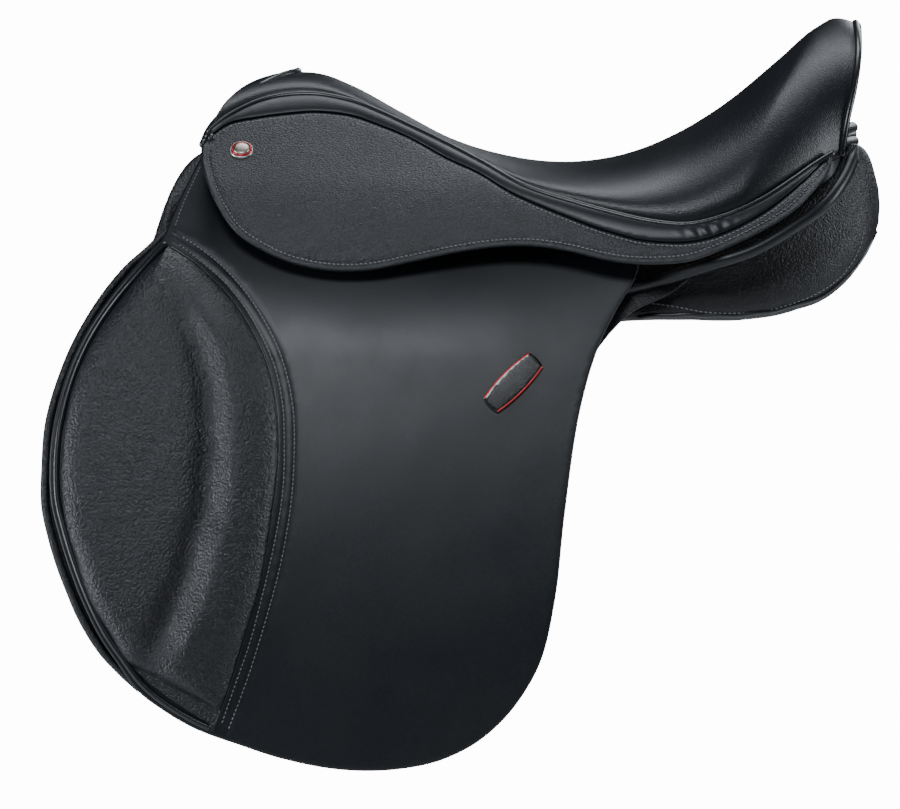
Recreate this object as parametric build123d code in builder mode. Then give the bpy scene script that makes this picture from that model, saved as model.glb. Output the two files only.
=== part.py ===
"""General-purpose English saddle.

X runs from the pommel back to the cantle, Y to the off (right) side and Z up, in millimetres. The origin
is on the roof of the gullet channel, on the centre line, below the deepest point of the seat. The near
(left) side is modelled and mirrored to make the off side. Each side is a stack of leather layers that all
follow one side profile: a straight slope beside the tree that curves down to hang almost upright.
"""

import math
import os

from build123d import *

# Side profile of the flap's outer face: half width and height where the slope ends and the first bend starts
SLOPE_DEG = 39.5
BEND_WIDTH, BEND_HEIGHT = 121, 24
UPPER_BEND_RADIUS, MIDDLE_DEG = 280, 17.5
LOWER_BEND_RADIUS, HEM_DEG = 1090, 1.5
PROFILE_TOP = 118

# Skirt profile: its inner face, and how much it widens towards the cantle
SKIRT_SLOPE_DEG = 46
SKIRT_BEND_WIDTH, SKIRT_BEND_HEIGHT, SKIRT_BEND_RADIUS = 108.5, 55, 139
SKIRT_HEM_DEG = 10
SKIRT_THICKNESS = 3.4
FLARE = 0.035

# Extent of the layers along X
FRONT, REAR = -400, 240
SIDE_REACH = 300

# Leather thicknesses and the depth of each layer below the flap's outer face
FLAP = (-3.5, 0)
BUCKLE_GUARD = (-4.8, -3.8)
GIRTH_STRAP = (-9.8, -5.8)
TREE_POINT = (-13, -5)
SWEAT_FLAP = (-16.6, -13.8)
WEB = (-12.8, -10.9)
POINT_POCKET = (-19.2, -17.0)
PANEL = (-50, -19.5)

# Seat: length from stud to cantle is 445 (a 17.5 inch seat)
COVER_THICKNESS = 2.2
CROWN = [
    (-262, 118), (-225, 129), (-196, 132), (-178, 131), (-157, 123), (-122, 104), (-88, 86), (-50, 74),
    (0, 69), (40, 75), (75, 90), (110, 112), (145, 141), (172, 164.5), (192, 171.5), (200, 166), (206, 156),
]
SEAT_EDGE = [
    (-262, 88), (-236, 104), (-207, 114), (-183, 115), (-156, 110), (-116, 92.5), (-66, 67), (-36, 50),
    (0, 38), (40, 27), (77, 22.5), (104, 28.5), (130, 40), (152, 54), (182, 74), (206, 88),
]
SEAT_STATIONS = (-262, -235, -205, -170, -130, -85, -40, 10, 55, 95, 130, 158, 180, 196, 206)

# Front of the head, as a side view curve that leans back, and the arch that it leaves for the withers
HEAD_LINE = [(-258, 78), (-252, 94), (-235, 113), (-212, 127), (-190, 134.5)]

# Tree, as a side view curve of its top face and a plan outline
TREE_TOP = [
    (-270, 102), (-205, 112), (-160, 98), (-110, 72), (-50, 42), (0, 30), (50, 33), (100, 54), (150, 92),
    (190, 134),
]
TREE_THICKNESS = 9
TREE_PLAN = [
    (-270, 32), (-215, 37), (-175, 40), (-150, 44), (-125, 54), (-95, 66), (-50, 82), (10, 93), (70, 96),
    (115, 90), (150, 76), (175, 52), (184, 0),
]
TREE_WINDOW = [(-150, 0), (-140, 26), (-90, 42), (-20, 56), (50, 64), (95, 52), (112, 0)]


def profile_steps(offset):
    """Start point, bend radii and slopes of the side profile, moved outward by offset along its normal."""
    slope = math.radians(SLOPE_DEG)
    bend = (BEND_WIDTH + offset * math.cos(slope), BEND_HEIGHT + offset * math.sin(slope))
    rise = PROFILE_TOP - BEND_HEIGHT
    top = (bend[0] - rise * math.tan(slope), bend[1] + rise)
    return top, bend, UPPER_BEND_RADIUS + offset, LOWER_BEND_RADIUS + offset


def half_width(height, offset=0):
    """Half width of the side profile at a height, moved outward by offset along its normal."""
    _, bend, upper, lower = profile_steps(offset)
    slope, middle = math.radians(SLOPE_DEG), math.radians(MIDDLE_DEG)
    if height >= bend[1]:
        return bend[0] - (height - bend[1]) * math.tan(slope)
    turn_height = bend[1] - upper * (math.sin(slope) - math.sin(middle))
    turn_width = bend[0] + upper * (math.cos(middle) - math.cos(slope))
    if height >= turn_height:
        angle = math.asin(math.sin(slope) - (bend[1] - height) / upper)
        return bend[0] + upper * (math.cos(angle) - math.cos(slope))
    angle = math.asin(math.sin(middle) - (turn_height - height) / lower)
    return turn_width + lower * (math.cos(angle) - math.cos(middle))


def skirt_half_width(x, height, offset=0):
    """Half width of the skirt's inner face at a place along the saddle, moved outward by offset."""
    slope = math.radians(SKIRT_SLOPE_DEG)
    width = SKIRT_BEND_WIDTH + offset * math.cos(slope)
    bend, radius = SKIRT_BEND_HEIGHT + offset * math.sin(slope), SKIRT_BEND_RADIUS + offset
    flare = FLARE * (x - FRONT)
    if height >= bend:
        return width - (height - bend) * math.tan(slope) + flare
    angle = math.asin(math.sin(slope) - (bend - height) / radius)
    return width + radius * (math.cos(angle) - math.cos(slope)) + flare


def on_flap(points, offset):
    """Near-side points of a side view curve, carried onto a layer of the side profile."""
    return [(x, -half_width(z, offset), z) for x, z in points]


def on_skirt(points, offset):
    """Near-side points of a side view curve, carried onto the skirt."""
    return [(x, -skirt_half_width(x, z, offset), z) for x, z in points]


def smooth_height(curve, x):
    """Height at x of a curve through a few (x, height) points."""
    points = sorted(curve)
    for i in range(len(points) - 1):
        (x0, z0), (x1, z1) = points[i], points[i + 1]
        if x <= x1 or i == len(points) - 2:
            before = points[i - 1] if i else points[0]
            after = points[i + 2] if i + 2 < len(points) else points[-1]
            m0 = (z1 - before[1]) / (x1 - before[0])
            m1 = (after[1] - z0) / (after[0] - x0)
            t, span = (x - x0) / (x1 - x0), x1 - x0
            keep, turn = 2 * t**3 - 3 * t**2 + 1, t**3 - 2 * t**2 + t
            return keep * z0 + turn * span * m0 + (1 - keep) * z1 + (t**3 - t**2) * span * m1


def side_layer(depths):
    """A sheet on the near side that follows the side profile for the saddle's whole length."""
    inner, outer = depths
    with BuildPart() as layer:
        with BuildSketch(Plane.YZ.offset(FRONT)):
            with BuildLine():
                ends = []
                for offset in (inner, outer):
                    top, bend, upper, lower = profile_steps(offset)
                    slope = Line((-top[0], top[1]), (-bend[0], bend[1]))
                    first = JernArc(slope @ 1, slope % 1, upper, SLOPE_DEG - MIDDLE_DEG)
                    second = JernArc(first @ 1, first % 1, lower, MIDDLE_DEG - HEM_DEG)
                    ends.append((slope @ 0, second @ 1))
                Line(ends[0][0], ends[1][0])
                Line(ends[0][1], ends[1][1])
            make_face()
        extrude(amount=REAR - FRONT)
    return layer.part


def skirt_layer(inner, outer):
    """A sheet on the near side that follows the skirt profile and widens towards the cantle."""
    slope = math.radians(SKIRT_SLOPE_DEG)
    rise, turn = PROFILE_TOP - SKIRT_BEND_HEIGHT, SKIRT_SLOPE_DEG - SKIRT_HEM_DEG
    with BuildPart() as layer:
        with BuildSketch(Plane.YZ.offset(FRONT)):
            with BuildLine():
                ends = []
                for offset in (inner, outer):
                    width = SKIRT_BEND_WIDTH + offset * math.cos(slope)
                    height = SKIRT_BEND_HEIGHT + offset * math.sin(slope)
                    line = Line((-(width - rise * math.tan(slope)), height + rise), (-width, height))
                    arc = JernArc(line @ 1, line % 1, SKIRT_BEND_RADIUS + offset, turn)
                    ends.append((line @ 0, arc @ 1))
                Line(ends[0][0], ends[1][0])
                Line(ends[0][1], ends[1][1])
            make_face()
        extrude(amount=REAR - FRONT, dir=(1, -FLARE, 0))
    return layer.part


def side_prism(*edges):
    """A prism across the near half, whose side view is closed from the given runs of points."""
    with BuildPart() as prism:
        with BuildSketch(Plane.XZ):
            with BuildLine():
                for edge in edges:
                    if len(edge) > 2:
                        Spline(*edge)
                    else:
                        Line(*edge)
            make_face()
        extrude(amount=SIDE_REACH)
    return prism.part


def tube(points, radius):
    """A round cord along a smooth curve through the given points."""
    with BuildPart() as cord:
        with BuildLine():
            path = Spline(*points)
        with BuildSketch(Plane(origin=path @ 0, z_dir=path % 0)):
            Circle(radius)
        sweep(path=path)
    return cord.part


def drop(curve, amount):
    """The same side view curve, lower by amount."""
    return [(x, z - amount) for x, z in curve]


def trim(curve, start, end):
    """Points of a side view curve between two places along X, with fresh end points."""
    inside = [p for p in curve if start < p[0] < end]
    return [(start, smooth_height(curve, start))] + inside + [(end, smooth_height(curve, end))]


def strip(curve, start, end, above, thickness):
    """A band across both sides that lies above a side view curve, between two places along X."""
    low = drop(curve, -above)
    high = drop(low, -thickness)
    with BuildPart() as band:
        with BuildSketch(Plane.XZ):
            with BuildLine():
                Spline(*low)
                Line(low[-1], high[-1])
                Spline(*high)
                Line(low[0], high[0])
            make_face()
        extrude(amount=SIDE_REACH, both=True)
        if (start, end) != (curve[0][0], curve[-1][0]):
            add(slab(start, end, -SIDE_REACH, SIDE_REACH, -300, 300), mode=Mode.INTERSECT)
    return band.part


def plan_prism(curve, grow=0):
    """A tall prism whose plan is closed by a curve of half widths on both sides of the centre line."""
    right = [(x, y + grow) for x, y in curve]
    with BuildPart() as prism:
        with BuildSketch(Plane.XY.offset(-100)):
            with BuildLine():
                edge = Spline(*right)
                mirror(edge, about=Plane.XZ)
                for x, y in (right[0], right[-1]):
                    if y:
                        Line((x, y), (x, -y))
            make_face()
        extrude(amount=400)
    return prism.part


def slab(x_min, x_max, y_min, y_max, z_min, z_max):
    """A plain block between two corners."""
    with BuildPart() as block:
        with Locations(((x_min + x_max) / 2, (y_min + y_max) / 2, (z_min + z_max) / 2)):
            Box(x_max - x_min, y_max - y_min, z_max - z_min)
    return block.part


def normal_peg(x, z, start, end, radius):
    """A near-side pin that stands square to the flap, between two distances from its outer face."""
    step = 0.5
    rise = half_width(z - step) - half_width(z + step)
    outward = Vector(0, -2 * step, rise).normalized()
    root = Vector(x, -half_width(z), z)
    with BuildPart() as peg:
        with BuildSketch(Plane(origin=root + outward * start, z_dir=outward)):
            Circle(radius)
        extrude(amount=end - start)
    return peg.part


def skirt_peg(x, z, start, end, radius):
    """A near-side pin that stands square to the skirt, between two distances from its inner face."""
    step = 0.5
    rise = skirt_half_width(x, z - step) - skirt_half_width(x, z + step)
    outward = Vector(0, -2 * step, rise).normalized()
    root = Vector(x, -skirt_half_width(x, z), z)
    with BuildPart() as peg:
        with BuildSketch(Plane(origin=root + outward * start, z_dir=outward)):
            Circle(radius)
        extrude(amount=end - start)
    return peg.part


def other_side(shape):
    """The off-side twin of a near-side shape."""
    return shape.mirror(Plane.XZ)


def both_sides(shape):
    """A near-side shape together with its off-side twin."""
    with BuildPart() as pair:
        add(shape)
        add(other_side(shape))
    return pair.part


# Fittings on the tree
POINT_EDGE = [
    (-246, 110), (-243, 60), (-232, 0), (-214, -20), (-190, -14), (-180, 30), (-174, 96), (-176, 110),
]
SCREW_PLACES = [(-228, 86), (-228, 66), (-208, 86), (-208, 66)]
RIVET_PLACES = [(-198, 38), (-182, 38)]
BAR_LOW, BAR_HIGH = 32, 44
BAR_FRONT, BAR_REAR, BAR_LEG_REAR = -219, -125, -206
BAR_SHEET = (7.5, 12.5)
BAR_PLATE = (-8.5, -5.3)
CATCH_PIN = (-131, 38)

# Girth straps: pivot height, hang and holes
STRAP_PLACES = (-150, -112, -74)
STRAP_WIDTH, STRAP_TOP, STRAP_PIVOT, STRAP_END = 25, 30.5, 18, -265
HOLE_PITCH, HOLE_COUNT, HOLE_RADIUS, FIRST_HOLE = 25, 7, 2.3, -240

# Lines on which the flap and the skirt lift, as the side view of their two ends
FLAP_LINE = [(-287, 19.1), (15.3, -64.3)]
SKIRT_LINE = [(-262, 69), (17.5, 14.5)]
LIFT_GAP = 0.6

# Flap, from the front end of its lifting line round the hem to the rear end
FLAP_EDGE = [
    (-287, 18.8), (-312.9, -14.2), (-341.6, -55.5), (-362.6, -111.5), (-366.8, -160.5), (-359.1, -213),
    (-338.1, -258.5), (-300.3, -304), (-252.7, -332), (-192.5, -350.9), (-140, -355.8), (-91, -347.4),
    (-48.3, -318), (-23.1, -276), (-14, -234), (-7.7, -178), (2.8, -108), (15.3, -64.6),
]
FLAP_SHOULDER = [(-287, 19.4), (-276.5, 42.5), (-264.6, 67), (-259, 77.5)]
FLAP_TOP = [(-259, 77.5), (-250, 94), (-205, 106), (-160, 93), (-110, 67), (-50, 38), (0, 25), (46, 10)]
FLAP_BACK = [(46, 10), (42.7, -12.8), (15.3, -64)]
FLAP_CORD = [
    (-285, 11), (-306.6, -12), (-328.3, -37), (-345.1, -68.1), (-356.3, -104), (-361, -138.8), (-361, -172.4),
    (-356.5, -197), (-348.5, -230.5), (-334, -258.5),
]

# Knee pad and the roll behind it
PAD_FRONT = [
    (-283, 8), (-312, -27), (-340, -68), (-353, -107), (-357, -146), (-356, -168), (-340, -228), (-317, -271),
    (-301, -292),
]
PAD_HEM = [(-301, -292), (-290, -302), (-270, -304)]
PAD_GROOVE = [
    (-283, 8), (-280, -32), (-267, -55), (-258, -87), (-255, -119), (-257, -161), (-264, -201), (-274, -237),
    (-285, -262), (-270, -304),
]
ROLL_FRONT = [
    (-279, 7), (-277.5, -32), (-264.5, -55), (-255.5, -87), (-252.5, -119), (-254.5, -161), (-261.5, -201),
    (-271.5, -237), (-281, -262), (-266, -304),
]
ROLL_HEM = [(-266, -304), (-258, -316), (-252, -328)]
ROLL_BACK = [
    (-279, 7), (-241.5, -17), (-213.5, -55.5), (-203, -97.5), (-201, -132.5), (-208.6, -167), (-214.2, -211),
    (-230.3, -267.6), (-252, -328),
]

# Sweat flap
SWEAT_FRONT = [
    (-287, 18), (-301, 4), (-315, -10), (-326, -23.5), (-343.5, -51.5), (-356, -79.5), (-364, -107.5),
    (-368.5, -150), (-368, -178), (-359, -220), (-347.5, -248), (-329, -276), (-301, -302),
]
SWEAT_HEM = [(-301, -302), (-240, -325), (-185, -336), (-130, -334), (-80, -316), (-50, -280)]
SWEAT_BACK = [(-50, -280), (-38, -200), (-6, -100), (35, -42), (68, -24.5), (92, -5)]
SWEAT_TOP = [(92, -5), (60, 8), (0, 20), (-60, 30), (-130, 40), (-200, 45), (-262, 42), (-287, 18)]

# Skirt
SEAM = [
    (-258, 80), (-243, 91), (-223, 98), (-196, 102), (-180, 102.5), (-156, 99), (-136, 91), (-116, 82),
    (-89, 68), (-66.5, 57.5), (-43, 43), (-3, 26), (24.5, 17), (51, 10.5), (84, 9.5), (110, 17), (135, 30),
    (165, 53),
]
SKIRT_HEM = [
    (-262, 68.2), (-258, 53), (-249, 33.5), (-236.5, 15.5), (-216, 3.2), (-196, -5), (-169, -9.8), (-143, -9),
    (-115, -3.7), (-83, 3), (-54, 7), (-30, 7.6), (-8, 3.8), (17.5, -1.7),
]
TAIL_HEM = [
    (17.5, -1.7), (31.5, -4), (55, -5), (80, -2.8), (104, 5.5), (128, 16.5), (152, 31.5), (164, 43),
    (176, 60), (180, 67.5),
]
STUD = (-233.8, 75.4)
WELT_RADIUS, WELT_GAP, SEAM_GAP = 2.2, 4, 0.15
STUD_FOOT = SKIRT_THICKNESS + 0.35

# Panel
PANEL_FRONT = [
    (-262, 77), (-270, 71), (-275, 62), (-279, 51), (-281.5, 38), (-285, 27), (-289.5, 19), (-297, 8),
]
PANEL_LOW = [
    (-297, 8), (-300, -40), (-270, -80), (-220, -88), (-150, -78), (-60, -60), (60, -44), (112, -46),
    (154, -38), (188, -21), (206, -2), (214, 28), (209, 52), (199.5, 75),
]
PANEL_SHELF = [(199.5, 75), (190, 58), (164, 35), (116, 1), (68, -14), (42, -20), (-20, -16), (-60, 12)]
PANEL_WIDE = [
    (-320, 170), (-200, 160), (-60, 140), (40, 134), (110, 126), (165, 108), (196, 84), (212, 50), (217, 0),
]
CHANNEL_HALF = 32

# Badge on the flap: a slim plate with bowed sides that slopes up to the rear
BADGE_CENTRE, BADGE_LENGTH, BADGE_END, BADGE_WAIST = (-43.7, -87), 45, 15, 19

# Cantle
RIM_HALF, RIM_LOW, RIM_RISE = 100, 72, 90
CANTLE_X, CANTLE_BOW, CANTLE_LEAN, RIM_DEPTH = 201, 18, 0.165, 4.6


def make_tree():
    """Laminated tree: a dished plate with an open middle, and two points that straddle the withers."""
    point = side_layer(TREE_POINT) & side_prism(POINT_EDGE, (POINT_EDGE[-1], POINT_EDGE[0]))
    bed = side_layer((BAR_PLATE[0] - 0.2, 0)) & bar_plate_prism(0.3)
    plate = strip(TREE_TOP, -250, 182, -TREE_THICKNESS, TREE_THICKNESS) & plan_prism(TREE_PLAN)
    with BuildPart() as tree:
        add(plate)
        add(plan_prism(TREE_WINDOW), mode=Mode.SUBTRACT)
        add(both_sides(point))
        add(both_sides(bed), mode=Mode.SUBTRACT)
        add(head_cut(5), mode=Mode.SUBTRACT)
        for x, z in SCREW_PLACES:
            add(both_sides(normal_peg(x, z, -30, 4, 2.6)), mode=Mode.SUBTRACT)
        for x, z in RIVET_PLACES:
            add(both_sides(normal_peg(x, z, -30, 4, 2.1)), mode=Mode.SUBTRACT)
    return tree.part


def head_cut(depth):
    """Everything in front of a line that lies behind the head's front face by the given depth."""
    line = [(x + depth, z) for x, z in HEAD_LINE]
    with BuildPart() as cut:
        with BuildSketch(Plane.XZ):
            with BuildLine():
                Spline(*line)
                Polyline(line[-1], (line[-1][0], 200), (-360, 200), (-360, line[0][1]), line[0])
            make_face()
        extrude(amount=SIDE_REACH, both=True)
    return cut.part


def bar_plate_prism(grow):
    """Side view block of the stirrup bar's base plate."""
    return slab(BAR_FRONT - 3 - grow, -168 + grow, -SIDE_REACH, -1, BAR_LOW - 6 - grow, BAR_HIGH + 6 + grow)


def make_gullet_plate():
    """Steel arch that stiffens the head underneath, with a leg down each point."""
    corners = [(-244, 96), (-240, 52), (-200, 52), (-200, 101), (-244, 96)]
    leg = side_layer((-16.4, -13.2)) & side_prism(*[corners[i:i + 2] for i in range(4)])
    bridge = strip([(-244, 93), (-222, 95.5), (-200, 98)], -244, -200, -3.2, 3.2)
    bridge = bridge & slab(-244, -200, -41, 41, 60, 120)
    with BuildPart() as plate:
        add(both_sides(leg))
        add(bridge)
        for x, z in SCREW_PLACES:
            add(both_sides(normal_peg(x, z, -30, 4, 2.6)), mode=Mode.SUBTRACT)
        add(head_cut(5), mode=Mode.SUBTRACT)
    return plate.part


def make_screws():
    """Countersunk screws that hold the gullet plate to the points."""
    with BuildPart() as screws:
        for x, z in SCREW_PLACES:
            add(both_sides(normal_peg(x, z, -17.5, -5, 2.6)))
    return screws.part


def make_stirrup_bar():
    """Forged bar that stands off the tree, closed in front and open to the rear."""
    rail = side_layer(BAR_SHEET) & slab(BAR_FRONT, BAR_REAR, -SIDE_REACH, -1, BAR_LOW, BAR_HIGH)
    foot = slab(BAR_FRONT, BAR_LEG_REAR, -SIDE_REACH, -1, BAR_LOW, BAR_HIGH)
    leg = side_layer((BAR_PLATE[0], BAR_SHEET[1])) & foot
    plate = side_layer(BAR_PLATE) & bar_plate_prism(0)
    seat = side_layer((10.2, 14)) & slab(-143, -110, -SIDE_REACH, -1, 20, 56)
    with BuildPart() as bar:
        add(rail)
        add(leg)
        add(plate)
        add(seat, mode=Mode.SUBTRACT)
        add(normal_peg(*CATCH_PIN, 0, 20, 1.7), mode=Mode.SUBTRACT)
        for x, z in RIVET_PLACES:
            add(normal_peg(x, z, -30, 0, 2.1), mode=Mode.SUBTRACT)
    return bar.part


def make_catch():
    """Thumb catch on the open end of the stirrup bar."""
    low, high = BAR_LOW + 0.5, BAR_HIGH - 0.5
    blade = side_layer((10.6, 13.2)) & slab(CATCH_PIN[0] - 5.5, -104, -SIDE_REACH, -1, low, high)
    toe = side_layer((8.4, 13.2)) & slab(-112, -104, -SIDE_REACH, -1, low, high)
    with BuildPart() as catch:
        add(blade)
        add(toe)
        add(normal_peg(*CATCH_PIN, 0, 20, 2), mode=Mode.SUBTRACT)
    return catch.part


def make_web(start, end):
    """Web across the tree whose ends run down inside the girth straps."""
    height = smooth_height(TREE_TOP, (start + end) / 2)
    reach = half_width(height + 6, WEB[0])
    below_top = strip(TREE_TOP, start, end, -200, 204.4)
    leg = side_layer(WEB) & below_top & slab(start, end, -SIDE_REACH, -1, 5, 120)
    top = strip(TREE_TOP, start, end, 2.6, 1.8) & slab(start, end, -reach, reach, 0, 120)
    with BuildPart() as web:
        add(both_sides(leg))
        add(top)
    return web.part


def make_strap(x):
    """Girth strap with a pointed end and a row of punched holes."""
    left, right = x - STRAP_WIDTH / 2, x + STRAP_WIDTH / 2
    shoulder = STRAP_TOP - STRAP_WIDTH / 2
    with BuildPart() as outline:
        with BuildSketch(Plane.XZ):
            with BuildLine():
                ThreePointArc((left, shoulder), (x, STRAP_TOP), (right, shoulder))
                Polyline((right, shoulder), (right, STRAP_END + 14), (x, STRAP_END), (left, STRAP_END + 14),
                         (left, shoulder))
            make_face()
            with Locations(*[(x, FIRST_HOLE + i * HOLE_PITCH) for i in range(HOLE_COUNT)]):
                Circle(HOLE_RADIUS, mode=Mode.SUBTRACT)
        extrude(amount=SIDE_REACH)
    return side_layer(GIRTH_STRAP) & outline.part


def flap_outline():
    """Side view of the part of the flap that lifts."""
    return side_prism(FLAP_EDGE, [FLAP_EDGE[-1], FLAP_EDGE[0]])


def make_flap_upper():
    """Fixed upper part of the flap, with a window for the stirrup bar's leg."""
    outline = side_prism(FLAP_SHOULDER, FLAP_TOP, FLAP_BACK, [FLAP_BACK[-1], FLAP_SHOULDER[0]])
    sheet = side_layer(FLAP) & outline
    with BuildPart() as upper:
        add(sheet)
        window = slab(BAR_FRONT - 2, BAR_LEG_REAR + 2, -SIDE_REACH, -1, BAR_LOW - 2, BAR_HIGH + 2)
        add(window, mode=Mode.SUBTRACT)
        add(head_cut(5), mode=Mode.SUBTRACT)
        for x, z in RIVET_PLACES:
            add(normal_peg(x, z, -5, 2, 3), mode=Mode.SUBTRACT)
    return upper.part


def badge_outline():
    """Side view of the badge."""
    length, end, waist = BADGE_LENGTH / 2, BADGE_END / 2, BADGE_WAIST / 2
    with BuildPart() as badge:
        with BuildSketch(Plane.XZ):
            with BuildLine():
                ThreePointArc((-length, end), (0, waist), (length, end))
                ThreePointArc((length, end), (length + 3, 0), (length, -end))
                ThreePointArc((length, -end), (0, -waist), (-length, -end))
                ThreePointArc((-length, -end), (-length - 3, 0), (-length, end))
            make_face()
        extrude(amount=SIDE_REACH)
    return badge.part.moved(Location((BADGE_CENTRE[0], 0, BADGE_CENTRE[1]), (0, -45, 0)))


def make_sweat_flap(cord):
    """Thin leather between the girth straps and the horse, trimmed for the roll along its front."""
    sheet = side_layer(SWEAT_FLAP) & side_prism(SWEAT_FRONT, SWEAT_HEM, SWEAT_BACK, SWEAT_TOP)
    with BuildPart() as sweat:
        add(sheet)
        add(cord, mode=Mode.SUBTRACT)
    return sweat.part


def make_skirts():
    """The skirt in its pieces: band below the seat, fixed upper part with the tail, and lifting part."""
    sheet = skirt_layer(0, SKIRT_THICKNESS)
    edge = drop(trim(SEAT_EDGE, -257, 179), WELT_GAP)
    band = side_prism(edge, [edge[-1], SEAM[-1]], SEAM, [SEAM[0], edge[0]])
    high = [(x, z + LIFT_GAP) for x, z in SKIRT_LINE]
    low = [(x, z - LIFT_GAP) for x, z in SKIRT_LINE]
    joined = drop(SEAM, SEAM_GAP)
    front = [joined[0], (-261, 75), high[0]]
    tail = [joined[-1], TAIL_HEM[-1]]
    upper = side_prism(joined, tail, TAIL_HEM, [TAIL_HEM[0], high[1]], high, front)
    lift = side_prism([low[0], SKIRT_HEM[0]], SKIRT_HEM, [SKIRT_HEM[-1], low[1]], low)
    return sheet & band, sheet & upper, sheet & lift


def seat_section(x, inset):
    """Cross-section of the seat at a place along X, set in by the given depth, as the right-hand outline."""
    crown, edge = smooth_height(CROWN, x) - inset, smooth_height(SEAT_EDGE, x) + WELT_GAP
    wide = skirt_half_width(x, edge, SKIRT_THICKNESS) - inset
    rise = crown - edge
    low = min(edge - 1, smooth_height(TREE_TOP, x) + 5.4)
    top = [(wide, edge), (0.76 * wide, edge + 0.6 * rise), (0.38 * wide, edge + 0.93 * rise), (0, crown)]
    return top, (wide - 12, low)


def seat_body(inset, sink=0):
    """The seat's outer form, set in by the given depth and with its foot lowered."""
    with BuildPart() as body:
        for x in SEAT_STATIONS:
            top, foot = seat_section(x, inset)
            foot = (foot[0], foot[1] - sink)
            rim = (top[0][0], top[0][1] - sink)
            with BuildSketch(Plane.YZ.offset(x)):
                with BuildLine():
                    Spline(*top, *[(-y, z) for y, z in reversed(top[:-1])])
                    if sink:
                        Line(top[0], rim)
                        Line((-top[0][0], top[0][1]), (-rim[0], rim[1]))
                    Polyline((-rim[0], rim[1]), (-foot[0], foot[1]), foot, rim)
                make_face()
        loft()
    return body.part


def rear_cut(depth):
    """Everything behind the cantle's bowed back face, moved forward by the given depth."""
    centre = CANTLE_X - depth
    lean = Vector(CANTLE_LEAN, 0, 1)
    side = centre - CANTLE_BOW * (110 / 95) ** 2
    with BuildPart() as cut:
        with BuildSketch(Plane.XY):
            with BuildLine():
                ThreePointArc((side, -110), (centre, 0), (side, 110))
                Polyline((side, 110), (300, 110), (300, -110), (side, -110))
            make_face()
        extrude(amount=260, dir=lean)
    return cut.part.moved(Location((-75 * CANTLE_LEAN, 0, 0)))


def rim_profile(grow):
    """Rear view of the cantle: a half oval on a straight foot, as a long prism."""
    with BuildPart() as oval:
        with BuildSketch(Plane.YZ.offset(100)):
            with Locations((0, RIM_LOW)):
                Ellipse(RIM_HALF + grow, RIM_RISE + grow)
            with Locations((0, RIM_LOW - 100)):
                Rectangle(300, 200, mode=Mode.SUBTRACT)
        extrude(amount=200)
    return oval.part


def rim_path(depth):
    """Points along the cantle's rim, on its back face moved forward by the given depth."""
    points = []
    for i in range(9):
        angle = math.pi * i / 8
        y, z = RIM_HALF * math.cos(angle), RIM_LOW + RIM_RISE * math.sin(angle)
        x = CANTLE_X - depth - CANTLE_BOW * (y / 95) ** 2 + CANTLE_LEAN * (z - 75)
        points.append((x, y, z))
    return points


def make_facing():
    """Welted leather that frames the arch over the withers."""
    with BuildPart() as facing:
        with BuildSketch(Plane.YZ.offset(-300)):
            with BuildLine():
                Spline((56, 78), (50, 96), (40, 114), (24, 128), (0, 134), (-24, 128), (-40, 114), (-50, 96),
                       (-56, 78))
                Polyline((-56, 78), (56, 78))
            make_face()
            with BuildLine():
                Spline((42, 70), (38, 84), (25, 95), (0, 99), (-25, 95), (-38, 84), (-42, 70))
                Polyline((-42, 70), (42, 70))
            make_face(mode=Mode.SUBTRACT)
        extrude(amount=160)
        add(head_cut(4.6), mode=Mode.INTERSECT)
        add(head_cut(0.4), mode=Mode.SUBTRACT)
    return facing.part


def make_panel():
    """Flocked panel: quilted front that follows the slope, and a deep rear under the seat."""
    corners = [PANEL_LOW[6], (60, 18), (-50, 18), (-200, 62), PANEL_FRONT[0]]
    brow = [corners[i:i + 2] for i in range(4)]
    front = side_layer(PANEL) & side_prism(PANEL_FRONT, PANEL_LOW[:7], *brow)
    with BuildPart() as block:
        with BuildSketch(Plane.YZ.offset(-60)):
            with BuildLine():
                inner = -CHANNEL_HALF
                Polyline((inner, 130), (inner, -14), (-60, -26), (-160, -62), (-160, 130), (inner, 130))
            make_face()
        extrude(amount=300)
    shelf = side_prism(PANEL_LOW[3:], PANEL_SHELF[:8], [PANEL_SHELF[7], PANEL_LOW[3]])
    outside = block.part & shelf & plan_prism(PANEL_WIDE)
    under = strip(TREE_TOP, -60, 182, -TREE_THICKNESS - 91, 90) & slab(-60, 182, -75, -CHANNEL_HALF, -60, 130)
    middle = under & plan_prism(TREE_PLAN, 1) & block.part & side_prism(PANEL_LOW[3:], *shelf_roof())
    waist = outside & side_layer((-100, PANEL[1])) & slab(-60, 94, -200, 0, -100, 100)
    rear = outside & skirt_layer(-60, -5) & slab(93, 230, -200, 0, -100, 100)
    tree_room = plan_prism(TREE_PLAN, 2) & strip(TREE_TOP, -250, 186, -TREE_THICKNESS - 1, 100)
    with BuildPart() as panel:
        add(front)
        add(waist)
        add(rear)
        add(middle)
        add(tree_room, mode=Mode.SUBTRACT)
    return panel.part


def shelf_roof():
    """Straight edges that close the panel's underside curve over the top."""
    end, start = PANEL_LOW[-1], PANEL_LOW[3]
    return [end, (end[0], 130)], [(end[0], 130), (start[0], 130)], [(start[0], 130), start]


def save(shape, label):
    """Write one named piece."""
    shape.label = label
    export_step(shape, f"parts/{label}.step")


def save_sides(shape, label):
    """Write a near-side piece and its off-side twin."""
    save(other_side(shape), f"{label}_off")
    save(shape, f"{label}_near")


os.makedirs("parts", exist_ok=True)

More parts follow.
